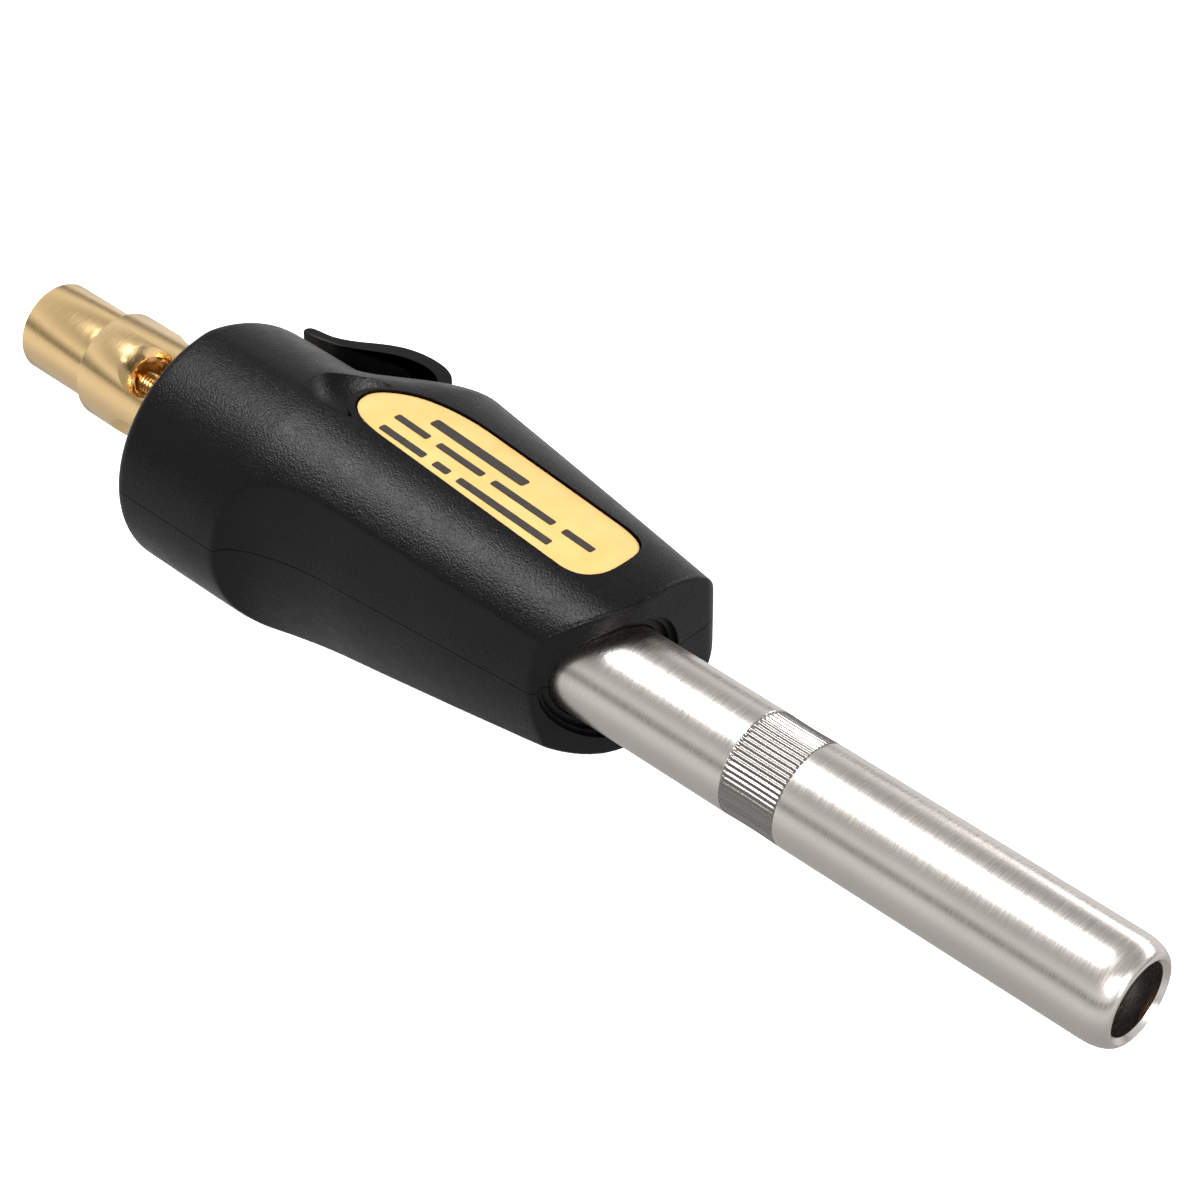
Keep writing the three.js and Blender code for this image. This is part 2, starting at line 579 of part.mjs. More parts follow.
function housing() {
  const outer = loft(outerStations, 0, ROOF_SIDES, PANEL_SIDES).subtract(aheadOfFace(0));
  const scoopBacking = scoopSolid(WALL - 0.4).intersect(outer);
  const cavity = subtractAll(loft(innerStations, WALL, CAVITY_SIDES, PANEL_SIDES - 2),
    aheadOfFace(FRONT_WALL), scoopBacking);
  const fill = loft(innerStations, WALL - 0.8, CAVITY_SIDES, PANEL_SIDES - 2).subtract(aheadOfFace(1));
  let made = outer.subtract(cavity);

  const igniterWay = block(PIEZO_REAR - 2, PIEZO_FRONT + GAP, PIEZO_Y - PIEZO_HALF - GAP,
    PIEZO_Y + PIEZO_HALF + GAP, -PIEZO_HALF - GAP, PIEZO_HALF + GAP);
  const contactWay = block(PIEZO_REAR, LEAD_SLOT_START, PIEZO_Y - CONTACT_WAY_HALF,
    PIEZO_Y + CONTACT_WAY_HALF, -CONTACT_WAY_HALF, CONTACT_WAY_HALF);
  for (const x of [ringFront + GAP, PIEZO_REAR + 4, PIEZO_FRONT - 7, PIEZO_FRONT + GAP]) {
    made = made.add(wallAcross(x, fill, igniterWay, contactWay));
  }
  for (const side of [-1, 1]) {
    const z0 = Math.min(side * SLOT_HALF_WIDTH, side * (SLOT_HALF_WIDTH + EAR));
    const ear = block(PIVOT_X - EAR_REACH, PIVOT_X + EAR_REACH, PIVOT_Y - 4, PIVOT_Y + 8, z0, z0 + EAR);
    made = made.add(ear.intersect(fill));
  }
  for (const { x, y } of SCREWS) made = made.add(post(x, y, -AROUND, AROUND, BOSS_R).intersect(fill));

  const labelRecess = plate(labelShape(GAP), LABEL_BAND[0], LABEL_BAND[1])
    .subtract(loft(outerStations, LABEL_SINK + LABEL_THICK + GAP, ROOF_SIDES, PANEL_SIDES));
  const scoop = scoopSolid(0).subtract(plate(labelShape(GAP + 1), LABEL_BAND[0], LABEL_BAND[1]));
  const brassWay = rod(SHELL_REAR - 5, MIXER_SHOULDER + 2, MIXER_R + GAP, 36);
  const tubeWay = rod(MIXER_SHOULDER, NOSE_X + 5, TUBE_R + GAP, 36);
  const collars = COLLAR_R.map((radius, i) => rod(0, NOSE_X + 9, radius, 36)
    .intersect(aheadOfFace((i + 1) * COLLAR_STEP)));
  const triggerSlot = block(SHELL_REAR - 5, SLOT_FRONT, SLOT_FLOOR_Y, AROUND,
    -SLOT_HALF_WIDTH, SLOT_HALF_WIDTH);
  const bossPocket = block(SLOT_FRONT - 1, PIVOT_X + TRIGGER_BOSS_R + 3 * GAP, SLOT_FLOOR_Y,
    PIVOT_Y + TRIGGER_BOSS_R + GAP, -SLOT_HALF_WIDTH, SLOT_HALF_WIDTH);
  const pinReach = SLOT_HALF_WIDTH + EAR + 2 * FIT;
  const pinHole = post(PIVOT_X, PIVOT_Y, -pinReach, pinReach, PIN_R + FIT, 12);
  made = subtractAll(made, brassWay, tubeWay, labelRecess, scoop, ...collars, triggerSlot, bossPocket,
    pinHole);
  for (const place of SCREWS) {
    const seat = screwSeat(place);
    made = subtractAll(made, post(place.x, place.y, -AROUND, seat, SCREW_HEAD_R + GAP, 14),
      post(place.x, place.y, seat - 1, place.bite + GAP, SCREW_R + FIT, 10));
  }
  return made;
}

// ---- Trigger and igniter ------------------------------------------------------------------------
function trigger() {
  const tailX = SHELL_REAR - 0.4;
  const tailY = BARREL_R + 2;
  const crestX = PIVOT_X - 13.5;
  const crestY = HUMP_Y;
  const innerY = crestY - TRIGGER_LEAF;
  const along = (share) => lerp(tailX, crestX, share);
  const leaf = new THREE.Shape();
  leaf.moveTo(tailX - 2, tailY - 2.1);
  leaf.bezierCurveTo(tailX - 2.6, tailY - 0.9, tailX - 1.8, tailY - 0.1, tailX, tailY);
  leaf.bezierCurveTo(along(0.41), tailY + 0.5, along(0.5), crestY - 0.1, crestX, crestY);
  leaf.bezierCurveTo(crestX + 4.5, crestY, PIVOT_X - 6.5, PIVOT_Y + 6.8, PIVOT_X - 5.6, PIVOT_Y + 4.4);
  leaf.bezierCurveTo(PIVOT_X - 4.8, PIVOT_Y + 2.4, PIVOT_X - 3, PIVOT_Y + TRIGGER_BOSS_R,
    PIVOT_X, PIVOT_Y + TRIGGER_BOSS_R);
  leaf.absarc(PIVOT_X, PIVOT_Y, TRIGGER_BOSS_R, Math.PI / 2, -Math.PI * 0.8, true);
  leaf.bezierCurveTo(PIVOT_X - 6.6, PIVOT_Y - 0.2, PIVOT_X - 6.6, innerY, crestX, innerY);
  leaf.bezierCurveTo(along(0.585), innerY - 0.2, along(0.454), tailY - 1.1, tailX + 0.6, tailY - 1.9);
  leaf.closePath();
  const arm = new THREE.Shape();
  const noseX = PLUNGER_END - GAP - ARM_NOSE_R;
  arm.moveTo(PIVOT_X - 2.4, PIVOT_Y);
  arm.lineTo(noseX - ARM_NOSE_R, PIEZO_Y);
  arm.absarc(noseX, PIEZO_Y, ARM_NOSE_R, Math.PI, 2 * Math.PI, false);
  arm.lineTo(noseX + ARM_NOSE_R, PIEZO_Y + PLUNGER_HEAD_R + 1);
  arm.lineTo(PIVOT_X + 1.5, PIVOT_Y);
  arm.closePath();
  const body = plate(leaf, -TRIGGER_HALF_WIDTH, TRIGGER_HALF_WIDTH, 8)
    .add(plate(arm, -ARM_HALF_WIDTH, ARM_HALF_WIDTH, 8));
  return body.subtract(post(PIVOT_X, PIVOT_Y, -SLOT_HALF_WIDTH, SLOT_HALF_WIDTH, PIN_R + FIT, 12));
}

function plunger() {
  const bodyFront = PIEZO_REAR + PLUNGER_INSERT;
  return turned([
    [PLUNGER_END, 0], [PLUNGER_END, PLUNGER_HEAD_R], [PLUNGER_END + PLUNGER_HEAD, PLUNGER_HEAD_R],
    [PLUNGER_END + PLUNGER_HEAD, PLUNGER_R], [bodyFront, PLUNGER_R], [bodyFront, 0],
  ], 18).translate([0, PIEZO_Y, 0]);
}

function piezoBody() {
  const body = block(PIEZO_REAR, PIEZO_FRONT, PIEZO_Y - PIEZO_HALF, PIEZO_Y + PIEZO_HALF,
    -PIEZO_HALF, PIEZO_HALF);
  const bore = rod(PIEZO_REAR - 1, PIEZO_REAR + PLUNGER_BORE_DEPTH, PLUNGER_R + FIT, 18);
  return body.subtract(bore.translate([0, PIEZO_Y, 0]));
}

function piezoSpring() {
  const start = PIEZO_REAR + PLUNGER_INSERT + GAP + SPRING_WIRE / 2;
  const end = PIEZO_REAR + PLUNGER_BORE_DEPTH - GAP - SPRING_WIRE / 2;
  const coilR = PLUNGER_R - SPRING_WIRE;
  const points = [];
  const steps = SPRING_TURNS * SPRING_STEPS;
  for (let i = 0; i <= steps; i += 1) {
    const turn = (i / SPRING_STEPS) * 2 * Math.PI;
    points.push(new THREE.Vector3(lerp(start, end, i / steps), PIEZO_Y + coilR * Math.cos(turn),
      coilR * Math.sin(turn)));
  }
  return wire(new THREE.CatmullRomCurve3(points), SPRING_WIRE / 2, steps, 5);
}

const contactRear = PIEZO_FRONT + 0.1;
const contactFront = contactRear + CONTACT_LENGTH;

function ignitionLead() {
  const start = contactFront + GAP;
  const end = INSULATOR_REAR - 1.8;
  const route = [
    [start, PIEZO_Y, 0], [start + 1.2, PIEZO_Y - 0.1, 0], [start + 3.4, PIEZO_Y - 2.2, 0],
    [start + 4.8, ELECTRODE_Y + 4.4, 0], [start + 6.6, ELECTRODE_Y + 1, 0], [start + 9, ELECTRODE_Y, 0],
    [end, ELECTRODE_Y, 0],
  ];
  return wire(new THREE.CatmullRomCurve3(route.map((p) => new THREE.Vector3(...p))), LEAD_R, 18, 7);
}

function electrodeRod() {
  const tipX = headFront + INSULATOR_PROUD;
  const route = [
    [INSULATOR_REAR - 1.4, ELECTRODE_Y, 0], [INSULATOR_REAR + 4, ELECTRODE_Y, 0], [tipX - 12, ELECTRODE_Y, 0],
    [tipX - 1, ELECTRODE_Y, 0], [tipX + 1.4, ELECTRODE_Y, 0], [tipX + 3.6, ELECTRODE_Y - 1.2, 0],
    [tipX + 4.6, ELECTRODE_Y - 3.2, 0],
  ];
  const curve = new THREE.CatmullRomCurve3(route.map((p) => new THREE.Vector3(...p)), false, 'chordal');
  return wire(curve, ELECTRODE_R, 24, 6);
}

// A bent strip that bears on the igniter at its rear end and on the tube at its front end.
function groundClip() {
  const high = PIEZO_Y - PIEZO_HALF - CLIP_GAP;
  const low = TUBE_R + CLIP_GAP;
  const shape = new THREE.Shape();
  shape.moveTo(CLIP_REAR, high);
  shape.lineTo(CLIP_REAR, high - CLIP_THICK);
  shape.lineTo(CLIP_REAR + 4, high - CLIP_THICK);
  shape.lineTo(CLIP_REAR + 6.5, low);
  shape.lineTo(CLIP_REAR + 11, low);
  shape.lineTo(CLIP_REAR + 11, low + CLIP_THICK);
  shape.lineTo(CLIP_REAR + 6.8, low + CLIP_THICK);
  shape.lineTo(CLIP_REAR + 4.3, high);
  shape.closePath();
  return plate(shape, -CLIP_HALF_WIDTH, CLIP_HALF_WIDTH);
}

function screw(place) {
  const profile = [
    [0, 0], [SCREW_HEAD_R * 0.8, 0], [SCREW_HEAD_R, 0.5], [SCREW_HEAD_R, SCREW_HEAD - 0.1],
    [SCREW_R, SCREW_HEAD - 0.1], [SCREW_R, SCREW_LENGTH - 1.5], [0, SCREW_LENGTH],
  ];
  const geometry = new THREE.LatheGeometry(profile.map(([r, h]) => new THREE.Vector2(r, h)), 12);
  geometry.rotateX(Math.PI / 2).translate(place.x, place.y, screwSeat(place) - SCREW_HEAD);
  const made = solid(geometry);
  return made.volume() < 0 ? solid(flipped(geometry)) : made;
}

// ---- Assembly -----------------------------------------------------------------------------------
add('inlet_socket', inletSocket(), 'brass');
const filterRear = boreEnd - GAP - FILTER_THICK;
add('inlet_filter', rod(filterRear, boreEnd - GAP, SOCKET_BORE_R - FIT, 20), 'brass');
const sealFront = filterRear - FIT;
add('inlet_seal', pipe(sealFront - SEAL_THICK, sealFront, SOCKET_BORE_R - FIT, 3, 20), 'rubber');
add('gas_jet', gasJet(), 'brass');
const washerRear = spigotFront + FIT;
add('jet_washer', pipe(washerRear, washerRear + WASHER_THICK, JET_FLANGE_R, JET_R + FIT, 18), 'rubber');
add('mixer_body', mixerBody(), 'brass');
add('retaining_ring', retainingRing(), 'steel');
add('mixing_tube', pipe(mixingRear, headRear + HEAD_SEAT_DEPTH - GAP, MIXING_TUBE_R,
  MIXING_TUBE_R - MIXING_TUBE_WALL, 20), 'brass');
add('burner_head', burnerHead(), 'brass');
add('flame_tube', flameTube(), 'steel');

const shells = housing();
const shellHalf = (z0, z1) => shells.intersect(block(SHELL_REAR - 5, NOSE_X + 5, -AROUND, AROUND, z0, z1));
add('upper_shell', shellHalf(PARTING, AROUND), 'plastic');
add('lower_shell', shellHalf(-AROUND, -PARTING), 'plastic');
const labelBand = loft(outerStations, LABEL_SINK, ROOF_SIDES, PANEL_SIDES)
  .subtract(loft(outerStations, LABEL_SINK + LABEL_THICK, ROOF_SIDES, PANEL_SIDES));
add('label_plate', labelBand.intersect(plate(labelShape(0), LABEL_BAND[0], LABEL_BAND[1])), 'label');
SCREWS.forEach((place, i) => add(`shell_screw_${i + 1}`, screw(place), 'steel'));

add('trigger', trigger(), 'plastic');
const pinHalf = SLOT_HALF_WIDTH + EAR;
add('trigger_pin', post(PIVOT_X, PIVOT_Y, -pinHalf, pinHalf, PIN_R, 12), 'steel');
add('piezo_body', piezoBody(), 'case');
add('piezo_plunger', plunger(), 'case');
add('piezo_spring', piezoSpring(), 'steel');
add('piezo_contact', rod(contactRear, contactFront, CONTACT_R, 14).translate([0, PIEZO_Y, 0]), 'brass');
add('ground_clip', groundClip(), 'steel');
add('ignition_lead', ignitionLead(), 'lead');
const insulatorFront = headFront + INSULATOR_PROUD;
add('electrode_insulator', pipe(INSULATOR_REAR, insulatorFront, INSULATOR_R, INSULATOR_BORE_R, 12)
  .translate([0, ELECTRODE_Y, 0]), 'ceramic');
add('electrode_rod', electrodeRod(), 'steel');

const box = new THREE.Box3().setFromObject(torch);
const middle = box.getCenter(new THREE.Vector3());
torch.position.set(-middle.x, -middle.y, -box.min.z);

export default torch;
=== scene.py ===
"""The looks of a hand-held gas torch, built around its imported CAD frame.

Pieces are modelled in millimetres along the gas axis (X, with the flame towards +X), and are then
moved into the row frame in metres. The labelled side is +Z and the trigger side is +Y.
"""
import json
import math

import bpy
import bmesh
import numpy as np
from mathutils import Matrix, Vector


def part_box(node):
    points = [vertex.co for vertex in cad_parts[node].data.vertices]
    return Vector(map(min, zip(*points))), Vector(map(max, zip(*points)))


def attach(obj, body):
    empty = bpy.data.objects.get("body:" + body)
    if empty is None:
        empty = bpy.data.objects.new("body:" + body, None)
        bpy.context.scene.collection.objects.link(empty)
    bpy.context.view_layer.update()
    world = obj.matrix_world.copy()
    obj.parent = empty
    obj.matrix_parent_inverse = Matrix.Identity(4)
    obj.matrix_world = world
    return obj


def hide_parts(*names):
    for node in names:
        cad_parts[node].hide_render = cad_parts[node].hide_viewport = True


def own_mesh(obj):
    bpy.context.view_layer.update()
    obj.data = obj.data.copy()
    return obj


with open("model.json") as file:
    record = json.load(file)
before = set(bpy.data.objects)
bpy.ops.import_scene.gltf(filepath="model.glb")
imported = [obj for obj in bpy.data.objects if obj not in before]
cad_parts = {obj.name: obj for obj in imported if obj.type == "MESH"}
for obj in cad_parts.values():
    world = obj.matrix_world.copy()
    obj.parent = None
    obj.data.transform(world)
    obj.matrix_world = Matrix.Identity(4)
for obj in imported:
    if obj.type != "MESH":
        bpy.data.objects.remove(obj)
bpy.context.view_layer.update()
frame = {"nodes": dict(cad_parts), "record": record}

MM = 0.001
BODY = "handpiece"

# ---- Dimensions in millimetres: where the CAD solids have the same one, the value is the same -------
FIT = 0.2  # radial clearance between pieces that slide together
GAP = 0.3  # clearance between faces that meet
BEYOND = 200.0  # reaches past the whole torch

# Flame tube
TUBE_R = 10.0
TUBE_WALL = 0.8
TUBE_END = 122.9
LIP_R = TUBE_R - 2.25
LIP_LENGTH = 5.3
LIP_EDGE = 0.42  # radius of the rounded edge of the mouth
CRIMP_START = 43.2
CRIMP_LENGTH = 11.9
CRIMP_RIDGES = 63

# Handpiece, along the gas axis
SHELL_REAR = -92.0
HUMP_START = -73.0
PANEL_REAR = -65.0
BARREL_FRONT = -62.0
HUMP_X = -50.0
PANEL_STRAIGHT = -44.0
NOSE_X = 13.8

# Brass
MIXER_R = TUBE_R + 0.85
MIXER_REAR = SHELL_REAR - 27.6
MIXER_SHOULDER = SHELL_REAR + 12
SPIGOT_LENGTH = 10.0
AIR_HOLE_R = 4.0
AIR_SINK_R = 5.6
AIR_HOLE_X = MIXER_REAR + 14.8
AIR_HOLE_TURN = math.radians(29.5)
AIR_HOLE_COUNT = 4
AIR_SINK_DROP = 0.9
RING_THICK = 2.6
RING_GROOVE_R = MIXER_R - 1.25
CHAMBER_R = RING_GROOVE_R - 2.1
CHAMBER_FRONT = SHELL_REAR - 4
SOCKET_R = MIXER_R - 1.75
SOCKET_LENGTH = 18.2
SOCKET_BORE_R = 5.6
SOCKET_BORE_DEPTH = 11.0
SOCKET_SPIGOT = 4.6
JET_R = 3.1
JET_FLANGE_R = 4.6
JET_FLANGE = 2.0
JET_WASHER = 1.4
JET_PITCH = 0.75
JET_NOSE_R = 2.4
JET_NOSE_LENGTH = 5.4
GAS_BORE_R = 1.2
ORIFICE_R = GAS_BORE_R * 0.45
MIXING_TUBE_R = 4.2
MIXING_TUBE_WALL = 0.7
MIXING_SEAT = 4.0
HEAD_LENGTH = 13.5
HEAD_SEAT_DEPTH = 6.0
HEAD_NOZZLE_R = 3.2
HEAD_FLARE = 1.6
HEAD_FLARE_LENGTH = 4.0
PORT_R = 0.9
PORT_COUNT = 10
ELECTRODE_Y = (TUBE_R - TUBE_WALL + MIXING_TUBE_R) / 2
INSULATOR_R = 1.5

# Igniter and trigger
PIEZO_HALF = 4.8
PIEZO_Y = TUBE_R + 2.2 + PIEZO_HALF
PIEZO_REAR = HUMP_X + 0.6
PIEZO_LENGTH = 30.0
PIEZO_FRONT = PIEZO_REAR + PIEZO_LENGTH
CONTACT_LENGTH = 3.0
CONTACT_WAY_HALF = 3.0
LEAD_SLOT_START = PIEZO_FRONT + CONTACT_LENGTH + 0.9
LEAD_SLOT_LENGTH = 12.0
LEAD_SLOT_WIDTH = 4.2
PLUNGER_END = PIEZO_REAR - 5.5
PLUNGER_HEAD_R = 4.3
PLUNGER_R = 3.4
PLUNGER_INSERT = 6.0
PLUNGER_BORE_DEPTH = 14.0
PIVOT_X = PLUNGER_END - 1.1
PIVOT_Y = PIEZO_Y + 10.8
PIN_R = 1.2
TRIGGER_HALF_WIDTH = 6.7
TRIGGER_BOSS_R = 2.8
TRIGGER_LEAF = 2.6
TRIGGER_TAIL = (-92.4, 27.5)
TRIGGER_CREST = (-69.5, 36.0)
ARM_HALF_WIDTH = 3.0
ARM_NOSE_R = 2.2
SLOT_HALF_WIDTH = 7.5
SLOT_FLOOR_Y = PIEZO_Y - PIEZO_HALF - GAP
SLOT_FRONT = PIVOT_X - 2.5
EAR = 2.2
EAR_REACH = 3.6
EAR_BELOW = 4.0
EAR_ABOVE = 8.0

# Handpiece, across the gas axis
WALL = 2.4
RIB = 2.0
REAR_WALL = 2.5
FRONT_WALL = 4.5
PARTING = 0.08  # half width of the visible parting line
BARREL_R = 25.5
BARREL_Z = -2.5
REST_Z = BARREL_Z - BARREL_R + 3.5
HUMP_Y = PIVOT_Y + 8.2
HUMP_FULLNESS = 2.5
ROOF_FALL = 0.18
NOSE_R = 16.3
NOSE_Y = 24.2
COLLAR_R = (TUBE_R + 2.8, TUBE_R + 1.8)
COLLAR_STEP = 1.1
PANEL_NOSE_Y = -COLLAR_R[0] - 0.2
PANEL_STRAIGHT_Y = PANEL_NOSE_Y - 4.4
PANEL_SCOOP = 6.4
PANEL_CROWN = 1.4 / 144
FACE_BOW_Y = 5.0
FACE_BOW = 9.1
FACE_BOW_SPAN = 17.2
FACE_BOW_POWER = 1.8
FACE_CORNER_R = 4.5
FACE_CORNER_Y = NOSE_Y + 0.5 - FACE_CORNER_R
FACE_NEAR_Y = -18.0  # the bow isn't followed past this
RIM_R = 2.0  # rounding of the rear rim

# Screws: x, y and the height of the head's seat
BOSS_R = 3.2
SCREW_R = 1.4
SCREW_HEAD_R = 2.6
SCREW_HEAD = 2.0
SCREW_LENGTH = 22.0
SCREW_PITCH = 1.1
SLOT_DEPTH = 1.2  # cross slot in the head, with half its length and half its width
SLOT_LONG = 1.5
SLOT_WIDE = 0.32
SHANK = SCREW_LENGTH - SCREW_HEAD
SCREWS = (
    (SHELL_REAR + 20, -(TUBE_R + GAP + BOSS_R + 2), 4 - SHANK),
    (PIEZO_REAR + 13.4, PIEZO_Y + PIEZO_HALF + GAP + BOSS_R + 1.1, 8 - SHANK),
    (NOSE_X - 12.8, TUBE_R + GAP + BOSS_R + 4.7, 9 - SHANK),
)

# Label, its printed bars and the thumb scoop behind it
LABEL_SINK = 0.5
LABEL_THICK = 0.5
LABEL_REAR = HUMP_X - 7.5
LABEL_FRONT = NOSE_X - 9.4
LABEL_NEAR_Y = 0.1
LABEL_FAR_Y = NOSE_Y - 5.9
LABEL_BARS = (  # place across the label, half width, and stretches along it
    (11.6, 1.25, ((-44.5, -21.5),)),
    (7.2, 0.85, ((-49.5, -41.3), (-39.0, -27.8), (-25.5, -10.6), (-8.3, -1.2))),
    (2.9, 0.85, ((-49.0, -38.0), (-35.7, -32.0), (-29.8, -7.5))),
)
INK_THICK = 0.03
INK_LIFT = 0.035  # from the film to the top of the bars
SCOOP = {"x": LABEL_REAR - 1.5, "y": LABEL_NEAR_Y + 7, "rx": 10.0, "ry": 8.6, "rz": 6.2, "height": 1.5}

# Igniter spring
SPRING_WIRE = 0.8
SPRING_TURNS = 3.5

tube_low, tube_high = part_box("flame_tube")
tube_middle = (tube_low + tube_high) / 2
GAS_AXIS = Vector((tube_high.x - TUBE_END * MM, tube_middle.y, tube_middle.z))


# ---- Camera, light and floor ------------------------------------------------------------------------
def place_camera():
    azimuth = math.radians(43.4)
    elevation = math.radians(41.4)
    distance = 0.612
    roll = math.radians(0.57)
    back = Vector((math.sin(azimuth) * math.cos(elevation), -math.cos(azimuth) * math.cos(elevation),
                   math.sin(elevation)))
    level = Vector((math.cos(azimuth), math.sin(azimuth), 0))
    upright = back.cross(level)
    right = level * math.cos(roll) - upright * math.sin(roll)
    up = upright * math.cos(roll) + level * math.sin(roll)
    data = bpy.data.cameras.new("camera")
    data.lens = 105
    data.sensor_width = 36
    data.clip_end = 20
    camera = bpy.data.objects.new("camera", data)
    camera.location = GAS_AXIS + level * 0.00515 + upright * 0.00808 + back * distance
    camera.rotation_euler = Matrix((right, up, back)).transposed().to_euler()
    bpy.context.scene.collection.objects.link(camera)
    bpy.context.scene.camera = camera


def area_light(name, place, target, size, power):
    data = bpy.data.lights.new(name, "AREA")
    data.shape = "RECTANGLE"
    data.size, data.size_y = size
    data.energy = power
    light = bpy.data.objects.new(name, data)
    light.location = Vector(place)
    aim = Vector(target) - Vector(place)
    light.rotation_euler = aim.to_track_quat("-Z", "Y").to_euler()
    bpy.context.scene.collection.objects.link(light)


# Brightness of the surroundings from straight down (0) to straight up (1), with a dark line at the horizon
SKY = ((0.2, 0.55), (0.36, 0.85), (0.47, 0.8), (0.52, 0.08), (0.57, 0.2), (0.66, 0.95), (0.8, 0.35))
SKY_END = 0.45


def light_scene():
    """Surroundings that vary with height, a softbox overhead and three weaker ones around the torch."""
    world = bpy.data.worlds.new("studio")
    world.use_nodes = True
    tree = world.node_tree
    background = tree.nodes["Background"]
    background.inputs["Strength"].default_value = 1.0
    direction = tree.nodes.new("ShaderNodeTexCoord").outputs["Generated"]
    split = tree.nodes.new("ShaderNodeSeparateXYZ")
    height = tree.nodes.new("ShaderNodeMapRange")
    height.inputs["From Min"].default_value = -1
    ramp = tree.nodes.new("ShaderNodeValToRGB")
    tree.links.new(direction, split.inputs["Vector"])
    tree.links.new(split.outputs["Z"], height.inputs["Value"])
    tree.links.new(height.outputs["Result"], ramp.inputs["Fac"])
    tree.links.new(ramp.outputs["Color"], background.inputs["Color"])
    for end in ramp.color_ramp.elements:
        end.color = (SKY_END, SKY_END, SKY_END, 1)
    for position, level in SKY:
        stop = ramp.color_ramp.elements.new(position)
        stop.color = (level, level, level, 1)
    bpy.context.scene.world = world
    area_light("top_softbox", (-0.42, -0.08, 0.95), (-0.05, 0, 0.03), (0.36, 0.5), 10)
    area_light("back_softbox", (0.15, 0.9, 0.35), (0, 0, 0.03), (0.9, 0.2), 3)
    area_light("front_strip", (0.75, -0.1, 0.35), (0.08, 0, 0.03), (0.12, 0.5), 2)
    area_light("near_softbox", (0.41, -0.44, 0.53), (-0.05, 0, 0.03), (0.14, 0.14), 4)
    bpy.context.scene.view_settings.view_transform = "Standard"


def make_floor():
    mesh = bpy.data.meshes.new("floor")
    reach = 3.0
    corners = [(-reach, -reach, 0), (reach, -reach, 0), (reach, reach, 0), (-reach, reach, 0)]
    mesh.from_pydata(corners, [], [(0, 1, 2, 3)])
    floor = bpy.data.objects.new("floor", mesh)
    floor.location.z = -0.0005
    bpy.context.scene.collection.objects.link(floor)
    material = bpy.data.materials.new("floor")
    material.use_nodes = True
    shader = material.node_tree.nodes["Principled BSDF"]
    shader.inputs["Base Color"].default_value = (0.93, 0.93, 0.93, 1)
    shader.inputs["Roughness"].default_value = 0.7
    shader.inputs["Emission Color"].default_value = (1, 1, 1, 1)
    shader.inputs["Emission Strength"].default_value = 0.75
    mesh.materials.append(material)
    floor.visible_glossy = False  # metals and plastic reflect the surroundings instead


# ---- Materials --------------------------------------------------------------------------------------
class Finish:
    """A node material with shared helpers: values come in and out as sockets."""

    def __init__(self, name, colour, metallic=0.0):
        self.material = bpy.data.materials.new(name)
        self.material.use_nodes = True
        self.tree = self.material.node_tree
        self.shader = self.tree.nodes["Principled BSDF"]
        self.shader.inputs["Metallic"].default_value = metallic
        self.shader.inputs["Base Color"].default_value = (*colour, 1)
        self.place = self.tree.nodes.new("ShaderNodeTexCoord").outputs["Object"]

    def link(self, value, socket):
        self.tree.links.new(value, socket)

    def noise(self, scale, stretch=(1, 1, 1), detail=3.0, roughness=0.55):
        mapping = self.tree.nodes.new("ShaderNodeMapping")
        mapping.inputs["Scale"].default_value = stretch
        self.link(self.place, mapping.inputs["Vector"])
        node = self.tree.nodes.new("ShaderNodeTexNoise")
        node.inputs["Scale"].default_value = scale
        node.inputs["Detail"].default_value = detail
        node.inputs["Roughness"].default_value = roughness
        self.link(mapping.outputs["Vector"], node.inputs["Vector"])
        return node.outputs["Fac"]

    def ranged(self, value, low, high, start=0.3, end=0.7):
        node = self.tree.nodes.new("ShaderNodeMapRange")
        node.inputs["From Min"].default_value = start
        node.inputs["From Max"].default_value = end
        node.inputs["To Min"].default_value = low
        node.inputs["To Max"].default_value = high
        self.link(value, node.inputs["Value"])
        return node.outputs["Result"]

    def mixed(self, factor, first, second):
        node = self.tree.nodes.new("ShaderNodeMix")
        node.data_type = "RGBA"
        node.inputs["A"].default_value = (*first, 1)
        node.inputs["B"].default_value = (*second, 1)
        self.link(factor, node.inputs["Factor"])
        return node.outputs["Result"]

    def banded(self, base, start, end, colour):
        """The base colour, with another colour between two places along the X axis."""
        split = self.tree.nodes.new("ShaderNodeSeparateXYZ")
        self.link(self.place, split.inputs["Vector"])
        inside = self.tree.nodes.new("ShaderNodeMath")
        inside.operation = "COMPARE"
        inside.inputs[1].default_value = (start + end) / 2 * MM + GAS_AXIS.x
        inside.inputs[2].default_value = (end - start) / 2 * MM
        self.link(split.outputs["X"], inside.inputs[0])
        node = self.tree.nodes.new("ShaderNodeMix")
        node.data_type = "RGBA"
        node.inputs["B"].default_value = (*colour, 1)
        self.link(base, node.inputs["A"])
        self.link(inside.outputs["Value"], node.inputs["Factor"])
        return node.outputs["Result"]

    def bump(self, height, strength, depth_mm):
        node = self.tree.nodes.new("ShaderNodeBump")
        node.inputs["Strength"].default_value = strength
        node.inputs["Distance"].default_value = depth_mm * MM
        self.link(height, node.inputs["Height"])
        if self.shader.inputs["Normal"].is_linked:
            self.link(self.shader.inputs["Normal"].links[0].from_socket, node.inputs["Normal"])
        self.link(node.outputs["Normal"], self.shader.inputs["Normal"])


